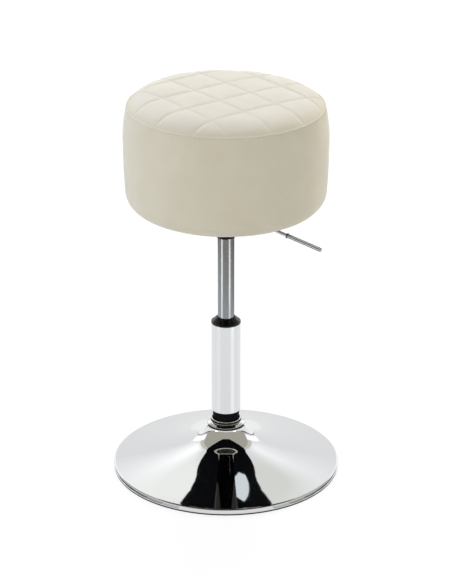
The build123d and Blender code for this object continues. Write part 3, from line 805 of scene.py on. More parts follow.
@dataclass
class TrumpetBase:
    """The chrome base: spun shell, rubber ring, stepped collar, and what is welded underneath."""

    sheet: float = 0.002
    neck_radius: float = 0.031
    neck_lip: float = 0.004
    lip_slope: float = math.radians(79.0)
    neck_slope: float = math.radians(20.0)
    rim_slope: float = math.radians(8.0)
    rim_height: float = 0.0115
    rim_round: float = 0.003
    foot_width: float = 0.004
    foot_lip: float = 0.002
    collar_step: float = 0.029
    collar_lip: float = 0.026
    collar_bore: float = 0.02336
    collar_foot_height: float = 0.0018
    collar_step_height: float = 0.0046
    collar_step_rise: float = 0.0007
    arc_steps: tuple[int, int, int] = (48, 64, 12)
    around: int = 288
    collar_around: int = 160

    def shell_line(self, inset: float) -> Array:
        """The shell's line from the neck to the rim, set in from its outer face.

        Below the lip, a neck arc turns from the lip's slope to the neck's and a skirt arc on to the rim's
        slope. Their radii follow from the run and rise that the two have to cover together. A small arc
        then rolls the rim down to the floor ring.

        Args:
            inset: How far the line lies inside the outer face.

        Returns:
            Radius and height of each point, from the neck down.
        """
        shell = Span.of("base_shell")
        slopes = (self.lip_slope, self.neck_slope, self.rim_slope)
        lip_sine, neck_sine, rim_sine = map(math.sin, slopes)
        lip_cosine, neck_cosine, rim_cosine = map(math.cos, slopes)
        skirt_end = shell.radius - self.rim_round * (1 - rim_sine)
        run = skirt_end - self.neck_radius
        rise = shell.high - self.neck_lip - self.rim_height
        across, up = neck_sine - rim_sine, rim_cosine - neck_cosine
        neck_run, neck_rise = lip_sine - neck_sine, neck_cosine - lip_cosine
        whole = across * neck_rise - up * neck_run
        skirt = (run * neck_rise - rise * neck_run) / whole
        neck = (across * rise - up * run) / whole
        neck_center = (self.neck_radius + neck * lip_sine, shell.high - self.neck_lip + neck * lip_cosine)
        skirt_center = (skirt_end + skirt * rim_sine, self.rim_height + skirt * rim_cosine)
        roll_center = (shell.radius - self.rim_round, self.rim_height - self.rim_round * rim_cosine)
        lip, edge, lip_round = self.neck_radius - inset, shell.radius - inset, self.sheet / 4
        lip_turn, neck_turn, rim_turn = (-QUARTER - slope for slope in slopes)
        neck_steps, skirt_steps, roll_steps = self.arc_steps
        return np.vstack(
            [
                [[lip, shell.high - lip_round], [lip, shell.high - self.neck_lip / 2]],
                arc(neck_center, neck + inset, lip_turn, neck_turn, neck_steps),
                arc(skirt_center, skirt + inset, neck_turn, rim_turn, skirt_steps)[1:],
                arc(roll_center, self.rim_round - inset, QUARTER - self.rim_slope, 0.0, roll_steps)[1:],
                [[edge, shell.low + self.sheet], [edge, shell.low + lip_round]],
            ]
        )

    def shell(self) -> Surface:
        """The shell's two faces joined by a rounded lip and a rounded rim edge.

        Returns:
            The closed shell.
        """
        shell, middle = Span.of("base_shell"), self.sheet / 2
        lip = [[self.neck_radius - middle, shell.high]]
        edge = [[shell.radius - middle, shell.low]]
        inner = self.shell_line(self.sheet)[::-1]
        return turned(np.vstack([self.shell_line(0.0), edge, inner, lip]), self.around)

    def rubber_ring(self) -> Surface:
        """The ring's L-shaped section with soft corners: a foot under the rim and a lip inside it.

        Returns:
            The closed ring.
        """
        ring, shell = Span.of("rim_ring"), Span.of("base_shell")
        inner = ring.radius - self.foot_width
        lip = inner + self.foot_lip
        corners = [
            (inner, ring.low, 0.0004),
            (ring.radius, ring.low, 0.0008),
            (ring.radius, shell.low, 0.0003),
            (lip, shell.low, 0.0),
            (lip, ring.high, 0.0006),
            (inner, ring.high, 0.0006),
        ]
        return lathe(corners, self.around)

    def collar(self) -> Surface:
        """The collar's stepped section: a foot, a sloped step and a tall lip, all softly rounded.

        Returns:
            The closed collar.
        """
        collar = Span.of("base_collar")
        foot_high, step_high = collar.low + self.collar_foot_height, collar.low + self.collar_step_height
        corners = [
            (self.collar_bore, collar.low, 0.0),
            (collar.radius, collar.low, 0.0003),
            (collar.radius, foot_high, 0.0007),
            (self.collar_step, step_high, 0.0007),
            (self.collar_lip, step_high + self.collar_step_rise, 0.0005),
            (self.collar_lip, collar.high, 0.0008),
            (self.collar_bore, collar.high, 0.0008),
        ]
        return lathe(corners, self.collar_around)

    def build(self) -> None:
        """Makes the pieces of the base and dresses the rest."""
        add_piece("trumpet_shell", self.shell(), CHROME, Body.BASE, ["base_shell"])
        add_piece("floor_ring", self.rubber_ring(), RUBBER, Body.BASE, ["rim_ring"])
        add_piece("neck_collar", self.collar(), COLLAR_CHROME, Body.BASE, ["base_collar"])
        dress(BLACK_PAINT, "hub_plate", "base_socket", "standpipe_end_plate")


@dataclass
class Column:
    """The fixed column: standpipe, chrome cover, guide bushing and the bearing at its foot."""

    cover_wall: float = 0.0018
    cover_edge: float = 0.0005
    pipe_wall: float = 0.002
    pipe_step: float = 0.0004
    pipe_step_drop: float = 0.001
    pipe_taper: float = math.radians(1.6)
    bushing_gap: float = 0.0002
    bushing_lip: float = 0.003
    bushing_cone_foot: float = 0.0236
    bushing_cone_top: float = 0.002
    bore: float = 0.01405
    around: int = 160

    def cover(self) -> Surface:
        """A tube with rounded outer edges.

        Returns:
            The closed tube.
        """
        cover = Span.of("column_cover")
        inner = cover.radius - self.cover_wall
        corners = [
            (inner, cover.low, 0.0),
            (cover.radius, cover.low, self.cover_edge),
            (cover.radius, cover.high, self.cover_edge),
            (inner, cover.high, 0.0),
        ]
        return lathe(corners, self.around)

    def standpipe(self) -> Surface:
        """A tube that tapers below the chrome cover.

        Returns:
            The closed tube.
        """
        pipe, cover = Span.of("standpipe"), Span.of("column_cover")
        taper_high = cover.low - self.pipe_step_drop
        taper_radius = pipe.radius - self.pipe_step
        foot_radius = taper_radius - (taper_high - pipe.low) * math.tan(self.pipe_taper)
        line = [
            (foot_radius, pipe.low, 0.0),
            (taper_radius, taper_high, 0.0),
            (pipe.radius, cover.low, 0.0),
            (pipe.radius, pipe.high, 0.0),
        ]
        inner = [(radius - self.pipe_wall, height, 0.0) for radius, height, _ in reversed(line)]
        return lathe(line + inner, self.around)

    def bushing(self) -> Surface:
        """A sleeve whose lip covers the column's top and whose cone leads in to the cylinder.

        Returns:
            The closed bushing.
        """
        bushing, cover = Span.of("guide_bushing"), Span.of("column_cover")
        sleeve = Span.of("standpipe").radius - self.pipe_wall - self.bushing_gap
        lip_high = cover.high + self.bushing_lip
        corners = [
            (self.bore, bushing.low, 0.0003),
            (sleeve, bushing.low, 0.0003),
            (sleeve, cover.high, 0.0),
            (bushing.radius, cover.high, 0.0003),
            (bushing.radius, lip_high, 0.001),
            (self.bushing_cone_foot, lip_high, 0.0003),
            (self.bore + self.bushing_cone_top, bushing.high, 0.0008),
            (self.bore, bushing.high, 0.0006),
        ]
        return lathe(corners, self.around)

    def build(self) -> None:
        """Makes the pieces of the column and dresses the rest."""
        add_piece("column_tube", self.cover(), COLUMN_CHROME, Body.BASE, ["column_cover"])
        add_piece("inner_standpipe", self.standpipe(), BLACK_GLOSS, Body.BASE, ["standpipe"])
        bushing = self.bushing()
        add_piece("column_bushing", bushing, BLACK_PLASTIC, Body.BASE, ["guide_bushing"])
        dress(GROUND, "lower_bearing_washer", "upper_bearing_washer", "bearing_balls", "piston_rod")
        dress(WHITE_PLASTIC, "ball_cage", "rod_guide")
        dress(ZINC, "end_washer", "retaining_clip")
        dress(RUBBER, "rubber_bumper", "piston_seal", "rod_seal")
        dress(ALLOY, "piston")


@dataclass
class GasLift:
    """The cylinder that slides in the column, with its valve."""

    wall: float = 0.0018
    edge: float = 0.0008
    head_edge: float = 0.0003
    head_taper: float = math.radians(1.0)
    foot_hole: float = 0.008
    foot_wall: float = 0.0015
    around: int = 128

    def cylinder(self) -> Surface:
        """A tube rolled in at its foot and tapered where the seat socket grips it.

        Returns:
            The closed tube.
        """
        tube, socket = Span.of("gas_cylinder"), Span.of("seat_socket")
        bore = tube.radius - self.wall
        head = tube.radius - (socket.high - socket.low) * math.tan(self.head_taper)
        floor_high = tube.low + self.foot_wall
        corners = [
            (self.foot_hole, tube.low, 0.0),
            (tube.radius, tube.low, self.edge),
            (tube.radius, socket.low, 0.0),
            (head, tube.high, self.head_edge),
            (bore, tube.high, 0.0),
            (bore, floor_high, 0.0),
            (self.foot_hole, floor_high, 0.0),
        ]
        return lathe(corners, self.around)

    def build(self) -> None:
        """Makes the cylinder and dresses the valve."""
        add_piece("lift_cylinder", self.cylinder(), SATIN_TUBE, Body.SEAT, ["gas_cylinder"])
        dress(ALLOY, "valve_body")
        dress(GROUND, "release_pin")


@dataclass
class LiftLever:
    """The lever: a bent rod, a chrome grip and a rubber ring."""

    bend: float = 0.070
    second_bend: float = 0.108
    bend_slope: float = math.radians(11.6)
    grip_slope: float = math.radians(7.75)
    reach: float = 0.1915
    grip_radius: float = 0.0036
    grip_length: float = 0.066
    mouth_round: float = 0.0003
    end_round: float = 0.0008
    end_wall: float = 0.002
    rod_radius: float = 0.00275
    rod_gap: float = 0.00002
    ring_radius: float = 0.0043
    ring_width: float = 0.0018
    flutes: int = 8
    first_flute: float = math.radians(-58.0)
    flute_depth: float = 0.0003
    flute_start: float = 0.002
    around: int = 160

    def tip(self) -> Array:
        """The end of the grip, below the pivot by the drop of the two sloped runs.

        Returns:
            The end's x, y and z.
        """
        low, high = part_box("pivot_pin")
        height = (low.z + high.z) / 2
        height -= (self.second_bend - self.bend) * math.tan(self.bend_slope)
        height -= (self.reach - self.second_bend) * math.tan(self.grip_slope)
        return np.array([self.reach, 0.0, height])

    def along_grip(self, surface: Surface) -> Surface:
        """Lays a surface made about the z axis along the grip, with z = 0 at the grip's inner end.

        Args:
            surface: The surface about the z axis.

        Returns:
            The surface in place.
        """
        along = np.array([math.cos(self.grip_slope), 0.0, -math.sin(self.grip_slope)])
        across = np.array([0.0, 1.0, 0.0])
        above = np.cross(along, across)
        start = self.tip() - along * self.grip_length
        points = start + surface.points @ np.array([above, across, along])
        return Surface(points, surface.faces).outward()

    def grip(self) -> Surface:
        """A blind sleeve: a bore for the rod, a rounded mouth, a rounded end and shallow flutes along it.

        The flutes lower the outside by the square of a cosine round the sleeve, where it is positive.

        Returns:
            The closed sleeve, in place.
        """
        bore, inside = self.rod_radius + self.rod_gap, self.grip_length - self.end_wall
        fluted_low, fluted_high = self.flute_start, self.grip_length - self.flute_start
        mouth = (self.grip_radius - self.mouth_round, self.mouth_round)
        end = (self.grip_radius - self.end_round, self.grip_length - self.end_round)
        line = np.vstack(
            [
                [[0.0, inside], [bore, inside], [bore, 0.0]],
                arc(mouth, self.mouth_round, -QUARTER, 0.0, 5),
                [[self.grip_radius, fluted_low], [self.grip_radius, fluted_high]],
                arc(end, self.end_round, 0.0, QUARTER, 9),
                [[0.0, self.grip_length]],
            ]
        )
        sleeve = spun(line, self.around)
        x, y, z = sleeve.points.T
        radius, angle = np.hypot(x, y), np.arctan2(y, x)
        on_run = (z > fluted_low - self.flute_depth) & (z < fluted_high + self.flute_depth)
        on_side = on_run & (radius > self.grip_radius - self.flute_depth)
        wave = np.cos(self.flutes * (angle - self.first_flute))
        fluted = np.clip(wave, 0.0, 1.0) ** 2 * self.flute_depth * on_side
        scale = 1.0 - fluted / np.maximum(radius, MM)
        return self.along_grip(Surface(np.column_stack([x * scale, y * scale, z]), sleeve.faces))

    def ring(self) -> Surface:
        """A rubber ring with rounded edges, against the grip's inner end.

        Returns:
            The closed ring, in place.
        """
        inner = self.rod_radius + self.rod_gap
        corners = [
            (inner, -self.ring_width, 0.0002),
            (self.ring_radius, -self.ring_width, 0.0005),
            (self.ring_radius, 0.0, 0.0005),
            (inner, 0.0, 0.0002),
        ]
        return self.along_grip(lathe(corners, self.around))

    def build(self) -> None:
        """Makes the grip and its ring and dresses the rod and its pivot."""
        x, _, z = (float(place) for place in self.tip())
        level = x * math.sin(self.grip_slope) + z * math.cos(self.grip_slope)
        chrome = FlutedChrome("fluted_grip_chrome", self.grip_slope, level, self.flutes, self.first_flute)
        add_piece("grip_sleeve", self.grip(), chrome, Body.LEVER, ["lever_grip"])
        add_piece("grip_band", self.ring(), RUBBER, Body.LEVER, ["grip_ring"])
        dress(LEVER_STEEL, "lever_rod")
        dress(ZINC, "pivot_pin", "pivot_clips")
        dress(BLACK_PAINT, "lever_bracket")


@dataclass
class SeatForm:
    """The seat's upholstered shape: the radii and heights that its cover passes through."""

    hem_height: float = 0.0315
    hem_draw: float = 0.0028
    belly_height: float = 0.123
    fold_width: float = 0.015
    cover_thickness: float = 0.003
    quilt_thickness: float = 0.008
    crown_radius: float = 3.0
    crown_shoulder: float = 0.042
    shoulder_share: float = 0.955
    side: Span = field(default_factory=lambda: Span.of("side_cover"))
    top: Span = field(default_factory=lambda: Span.of("quilted_cover"))
    piping: Span = field(default_factory=lambda: Span.of("seam_piping"))

    def piping_circle(self) -> Triple:
        """The piping's circle: its radius, height and thickness."""
        thick = (self.piping.high - self.piping.low) / 2
        return self.piping.radius - thick, (self.piping.high + self.piping.low) / 2, thick

    def hem_lean(self) -> float:
        """The side's lean at the hem."""
        return 2 * math.atan(self.hem_draw / (self.belly_height - self.hem_height))

    def fold_radius(self) -> float:
        """Where the side starts to turn up from the fold underneath."""
        edge = self.hem_height / (1 - math.sin(self.hem_lean()))
        return self.side.radius - self.hem_draw - edge * math.cos(self.hem_lean())

    def side_line(self, inset: float, counts: tuple[int, int, int]) -> Array:
        """The seat's side as three tangent arcs, from the fold underneath to the seam.

        Args:
            inset: How far the line lies inside the outer face.
            counts: Points on the edge, side and shoulder arcs.

        Returns:
            Radius and height of each point, from below.
        """
        lean = self.hem_lean()
        low, belly = self.side.low, self.side.low + self.belly_height
        edge_radius = self.hem_height / (1 - math.sin(lean))
        side_radius = (self.belly_height - self.hem_height) / math.sin(lean)
        draw = self.side.radius - self.piping_circle()[0] - self.cover_thickness / 2
        rise = self.side.high - belly
        shoulder_lean = 2 * math.atan(draw / rise)
        shoulder_radius = rise / math.sin(shoulder_lean)
        edge_center = (self.fold_radius(), low + edge_radius)
        side_center = (self.side.radius - side_radius, belly)
        shoulder_center = (self.side.radius - shoulder_radius, belly)
        return np.vstack(
            [
                arc(edge_center, edge_radius - inset, -QUARTER, -lean, counts[0]),
                arc(side_center, side_radius - inset, -lean, 0.0, counts[1])[1:],
                arc(shoulder_center, shoulder_radius - inset, 0.0, shoulder_lean, counts[2])[1:],
            ]
        )

    def crown(self, radius: Array) -> Array:
        """The seat top's height: a shallow crown arc, less a shoulder that falls as an ellipse to the seam.

        Args:
            radius: Distances from the axis.

        Returns:
            The height at each distance.
        """
        circle, level, thick = self.piping_circle()
        edge_radius, edge_level = circle - thick, level + thick
        flat = edge_radius - self.crown_shoulder
        center = self.top.high - self.crown_radius
        shallow = center + np.sqrt(self.crown_radius**2 - radius**2)
        edge_drop = center + math.sqrt(self.crown_radius**2 - edge_radius**2) - edge_level
        share = np.clip((radius - flat) / self.crown_shoulder, 0.0, 1.0) * self.shoulder_share
        whole = 1.0 - math.sqrt(1.0 - self.shoulder_share**2)
        return shallow - edge_drop * (1.0 - np.sqrt(1.0 - share**2)) / whole


class Folds(Enum):
    """Uneven runs of small folds round the seat: how many in the circle, for each sine, and a seed."""

    SEAM_GATHERS = ((141, 173, 197, 229), 3)
    SIDE_SWELLS = ((3, 5, 8, 11), 7)
    HEM_PLEATS = ((58, 71, 89), 11)
    CORD_NIPS = ((251, 293, 347), 5)
    LINING_CREASES = ((37, 53), 9)

    def heights(self, angle: Array) -> Array:
        """Sines of several counts with phases set by the seed, about -1 to 1 at each place in the circle.

        Args:
            angle: Places round the circle.

        Returns:
            The height at each place.
        """
        counts, seed = self.value
        phases = np.random.default_rng(seed).uniform(0.0, FULL_TURN, len(counts))
        waves = [np.sin(count * angle + phase) for count, phase in zip(counts, phases)]
        return sum(waves) / math.sqrt(len(counts))


@dataclass
class QuiltedTop:
    """The quilted top cover: squares puffed by simulated cloth between pinned rows of stitching."""

    form: SeatForm
    pitch: float = 0.065
    turn: float = math.radians(-15.0)
    shift: Point = (-0.0117, 0.0017)
    lines: int = 4
    cells: int = 26
    trim: float = 0.15
    sewn: float = 0.1
    sink: float = 0.0018
    sink_width: float = 0.0052
    sink_power: float = 2.2
    sink_limit: float = 1.1
    puff: float = 0.0014
    held_width: float = 0.006
    fuller: float = 0.0018
    fuller_side: float = math.radians(217.0)
    fuller_power: float = 2.5
    cloth: tuple[tuple[str, float], ...] = (
        ("quality", 6),
        ("mass", 0.25),
        ("tension_stiffness", 12.0),
        ("compression_stiffness", 12.0),
        ("shear_stiffness", 4.0),
        ("bending_stiffness", 0.4),
    )
    pressure: float = 4.0
    frames: int = 20
    cap: float = 0.0016
    under_radii: tuple[float, ...] = (1.006, 0.985, 0.96, 0.8, 0.6, 0.4, 0.2)
    under_depths: tuple[float, ...] = (0.14, 0.55, 1.0, 1.0, 1.0, 1.0, 1.0)
    pucker: float = 0.00011
    pucker_width: float = 0.0035
    pucker_waves: Point = (0.0031, 0.0047)
    pucker_phases: Point = (0.7, 2.1)
    pucker_second: float = 0.7
    pucker_rim: float = 0.010
    stitch_step: float = 0.0040
    stitch_length: float = 0.0029
    stitch_radius: float = 0.00035
    stitch_rim: float = 0.003
    stitch_arch: float = 1.2
    stitch_end: float = 0.15
    stitch_points: int = 6
    stitch_batch: int = 40

    def edge(self) -> float:
        """The radius at which the top meets the piping."""
        circle, _, thick = self.form.piping_circle()
        return circle - thick

    def quilt_place(self, x: Array, y: Array, turn: float) -> tuple[Array, Array]:
        """Places in axes turned by an angle: the cosine times one plus or less the sine times the other."""
        cosine, sine = math.cos(turn), math.sin(turn)
        return x * cosine + y * sine, y * cosine - x * sine

    def stitch_lines(self) -> tuple[Array, Array]:
        """Where the stitch lines of both rows lie, a pitch apart and shifted from the middle."""
        rows = (np.arange(self.lines) - (self.lines - 1) / 2) * self.pitch
        return rows + self.shift[0], rows + self.shift[1]

    def from_lines(self, x: Array, y: Array) -> list[Array]:
        """Distances to the nearest stitch line of each row, at most half a pitch."""
        both = zip(self.quilt_place(x, y, self.turn), self.stitch_lines())
        return [np.minimum(np.abs(at[:, None] - line).min(axis=1), self.pitch / 2) for at, line in both]

    def relief(self, x: Array, y: Array) -> Array:
        """How far the quilting lies below the crown.

        Near a stitch line the cover sinks by a power of the nearness to the line, and both rows are joined
        by the cube root of their cubes. Each square is domed by the product of two half sines. The pad is a
        little fuller on one side, by a half sine of a power of the radius times the cosine of the angle.

        Args:
            x: Places along x.
            y: Places along y.

        Returns:
            The depth, negative below the crown.
        """
        away = self.from_lines(x, y)
        near = [np.clip(1 - a / self.sink_width, 0.0, 1.0) ** self.sink_power for a in away]
        sunk = np.minimum(np.cbrt(near[0] ** 3 + near[1] ** 3), self.sink_limit)
        dome = np.sin(math.pi * away[0] / self.pitch) * np.sin(math.pi * away[1] / self.pitch)
        radius = np.hypot(x, y) / self.edge()
        held = np.clip((1.0 - radius) * self.edge() / self.held_width, 0.0, 1.0)
        eased = held * held * (3 - 2 * held)
        quilted = (self.puff * (np.sqrt(dome) - 1.0) - sunk * self.sink) * eased
        swell = np.sin(math.pi * np.clip(radius, 0.0, 1.0) ** self.fuller_power)
        return quilted + self.fuller * (swell * np.cos(np.arctan2(y, x) - self.fuller_side))

    def lattice(self) -> tuple[Array, Array, Array]:
        """A square grid in the quilting's axes, cut to the seam's circle.

        Grid lines fall on the stitch lines. Squares whose middle is inside the circle are kept, and the
        points on the outside of what is kept are moved out or in to the circle.

        Returns:
            The points' x and y, the squares, and which points are on the circle.
        """
        step, edge = self.pitch / self.cells, self.edge()
        reach = int((edge + max(np.abs(self.shift))) / step) + 2
        line = (np.arange(-reach, reach + 1) + self.cells / 2 % 1) * step
        u, v = (g.ravel() for g in np.meshgrid(line + self.shift[0], line + self.shift[1], indexing="ij"))
        quads = grid_faces(len(line), len(line), False, False)[:, ::-1]
        middle = np.hypot(u[quads].mean(1), v[quads].mean(1))
        used, quads = np.unique(quads[middle < edge - self.trim * step], return_inverse=True)
        quads = quads.reshape(-1, 4)
        on_edge = np.bincount(quads.ravel(), minlength=len(used)) < 4
        u, v = u[used], v[used]
        scale = np.where(on_edge, edge / np.maximum(np.hypot(u, v), step), 1.0)
        return np.column_stack(self.quilt_place(u * scale, v * scale, -self.turn)), quads, on_edge

    def inflate(self, piece: bpy.types.Object, pinned: Array) -> None:
        """Blows the squares up as cloth that is held along the stitching, and keeps the capped result.

        Args:
            piece: The cover, with its starting shape in its mesh.
            pinned: Which points are held.
        """
        group = piece.vertex_groups.new(name="held")
        group.add([int(i) for i in np.flatnonzero(pinned)], 1.0, "REPLACE")
        cloth = piece.modifiers.new("cloth", "CLOTH")
        for key, value in self.cloth:
            setattr(cloth.settings, key, value)
        cloth.settings.use_pressure = True
        cloth.settings.uniform_pressure_force = self.pressure
        cloth.settings.vertex_group_mass = group.name
        cloth.settings.effector_weights.gravity = 0.0
        cloth.collision_settings.use_collision = False
        cloth.point_cache.frame_start = 1
        cloth.point_cache.frame_end = self.frames
        scene = bpy.context.scene
        for number in range(1, self.frames + 1):
            scene.frame_set(number)
        start = points_of(piece.data)
        move = points_of(piece.evaluated_get(bpy.context.evaluated_depsgraph_get()).data) - start
        length = np.linalg.norm(move, axis=1, keepdims=True)
        move *= np.minimum(1.0, self.cap / np.maximum(length, 1e-9))
        LOG.info("quilt: cloth moved up to %.2f mm before the cap", float(length.max()) / MM)
        piece.modifiers.remove(cloth)
        piece.vertex_groups.remove(group)
        piece.data.vertices.foreach_set("co", (start + move).ravel())
        scene.frame_set(1)

    def subdivided(self, piece: bpy.types.Object) -> Surface:
        """The piece's mesh with each face split once, as arrays.

        Args:
            piece: The cover, with its shape in its mesh.

        Returns:
            The finer cover.
        """
        finer = piece.modifiers.new("finer", "SUBSURF")
        finer.levels = 1
        finer.render_levels = 1
        mesh = bpy.data.meshes.new_from_object(piece.evaluated_get(bpy.context.evaluated_depsgraph_get()))
        points = points_of(mesh)
        corners = np.empty(len(mesh.loops), np.int32)
        mesh.loops.foreach_get("vertex_index", corners)
        bpy.data.meshes.remove(mesh)
        return Surface(points, [corners.reshape(-1, 4).astype(np.int64)])

    def closed(self, skin: Surface) -> Surface:
        """Closes the cover underneath with rings that follow the crown a quilt's thickness down.

        Args:
            skin: The cover's upper face, open at the seam.

        Returns:
            The closed cover.
        """
        quads, base = skin.faces[0], len(skin.points)
        sides = np.stack([quads, np.roll(quads, -1, axis=1)], -1).reshape(-1, 2)
        key = np.sort(sides, axis=1)
        _, where, uses = np.unique(key, axis=0, return_inverse=True, return_counts=True)
        rim = np.unique(sides[uses[where.ravel()] == 1])
        angle = np.arctan2(skin.points[rim, 1], skin.points[rim, 0])
        rim, angle = rim[np.argsort(angle)], np.sort(angle)
        radii = np.array(self.under_radii)[:, None] * self.edge()
        depths = np.array(self.under_depths)[:, None] * self.form.quilt_thickness
        rings = round_axis(radii, self.form.crown(np.minimum(radii, self.edge())) - depths, angle)
        middle = [[0.0, 0.0, float(self.form.crown(np.zeros(1))[0]) - self.form.quilt_thickness]]
        count = len(rim)
        first = base + np.arange(count)
        last = first + (len(radii) - 1) * count
        join = np.column_stack([np.roll(rim, -1), rim, first, np.roll(first, -1)])
        lower = base + grid_faces(len(radii), count, False, True)[:, ::-1]
        fan = np.column_stack([np.roll(last, -1), last, np.full(count, base + len(rings))])
        return Surface(np.vstack([skin.points, rings, middle]), [np.vstack([quads, join, lower]), fan])

    def puckered(self, skin: Surface) -> Surface:
        """Adds small folds that run off square from the stitching and fade away from it.

        A fold's height is a sine along the line, times its nearness to the line, both rows added.

        Args:
            skin: The puffed cover.

        Returns:
            The cover with its folds.
        """
        x, y, z = skin.points.T
        u, v = self.quilt_place(x, y, self.turn)
        short, long = self.pucker_waves
        folds = np.zeros_like(z)
        for away, along, phase in zip(self.from_lines(x, y), (v, u), self.pucker_phases):
            near = np.exp(-(((away - self.pucker_width) / self.pucker_width) ** 2))
            second = self.pucker_second * np.sin(along / long + 3 * phase)
            folds += near * (np.sin(along / short + phase) + second)
        rim = np.clip((self.edge() - np.hypot(x, y)) / self.pucker_rim, 0.0, 1.0)
        return Surface(np.column_stack([x, y, z + self.pucker * folds * rim]), skin.faces)

    def stitch_spots(self) -> tuple[Array, Array]:
        """The middle of every stitch and the direction of its line.

        Returns:
            The middles and the directions, one a row.
        """
        edge = self.edge() - self.stitch_rim
        spots = []
        for row, lines in enumerate(self.stitch_lines()):
            for offset in lines:
                half = math.sqrt(edge**2 - offset**2)
                run = np.arange(-half, half, self.stitch_step) + self.stitch_step / 2
                run = run[np.abs(run) < half - self.stitch_length / 2]
                level, ahead, still = np.full_like(run, offset), np.ones_like(run), np.zeros_like(run)
                columns = [level, run, still, ahead] if row == 0 else [run, level, ahead, still]
                spots.append(np.column_stack(columns))
        u, v, along, across = np.vstack(spots).T
        pairs = ((u, v), (along, across))
        place, direction = (np.column_stack(self.quilt_place(*pair, -self.turn)) for pair in pairs)
        return place, direction

    def stitches(self, cover: Surface) -> Surface:
        """Short threads end to end along every stitch line, lying in its groove.

        Each is a small spindle along the line: its radius is the root of a half sine of its length, and
        its height is that of the cover's nearest point.

        Args:
            cover: The finished cover.

        Returns:
            All the threads.
        """
        place, along = self.stitch_spots()
        upper = cover.points[cover.points[:, 2] > self.form.crown(np.array([self.edge()]))[0] - MM]
        share, angle = np.linspace(0.0, 1.0, self.stitch_points), even_angles(self.stitch_points)
        bulge = np.sin(math.pi * share)[:, None]
        ends = place[:, None] + along[:, None] * (share - 0.5)[None, :, None] * self.stitch_length
        flat = ends.reshape(-1, 2)
        parts = np.array_split(flat, len(flat) // self.stitch_batch)
        near = [np.argmin(((part[:, None] - upper[None, :, :2]) ** 2).sum(-1), axis=1) for part in parts]
        height = upper[np.concatenate(near), 2].reshape(len(place), -1).min(axis=1, keepdims=True)
        radius = self.stitch_radius * np.sqrt(np.maximum(bulge, self.stitch_end))
        lift = bulge * self.stitch_radius * self.stitch_arch + radius * np.sin(angle)
        beside = np.column_stack([-along[:, 1], along[:, 0]])[:, None, None]
        level = ends[:, :, None] + beside * (radius * np.cos(angle))[None, :, :, None]
        points = np.concatenate([level, (height[:, :, None] + lift[None])[..., None]], -1).reshape(-1, 3)
        ring = np.arange(len(angle))
        caps = np.vstack([ring[::-1], ring + len(angle) * (len(share) - 1)])
        shift = (np.arange(len(place)) * len(share) * len(angle))[:, None, None]
        kinds = (grid_faces(len(share), len(angle), False, True), caps)
        blocks = [(shift + block[None]).reshape(-1, block.shape[1]) for block in kinds]
        return Surface(points, blocks).outward()

    def build(self) -> None:
        """Makes the cover and its stitching."""
        flat, quads, on_edge = self.lattice()
        x, y = flat.T
        height = self.form.crown(np.hypot(x, y)) + self.relief(x, y)
        start = Surface(np.column_stack([x, y, height]), [quads])
        piece = linked("quilt_start", start.mesh("quilt_start"))
        sewn = np.minimum(*self.from_lines(x, y)) < self.sewn * self.pitch / self.cells
        self.inflate(piece, on_edge | sewn)
        skin = self.puckered(self.subdivided(piece))
        bpy.data.objects.remove(piece)
        cover = self.closed(skin).outward()
        top = add_piece("quilted_top", cover, CREAM_TOP, Body.SEAT, ["quilted_cover"])
        add_piece("quilt_stitching", self.stitches(skin), THREAD, Body.SEAT)


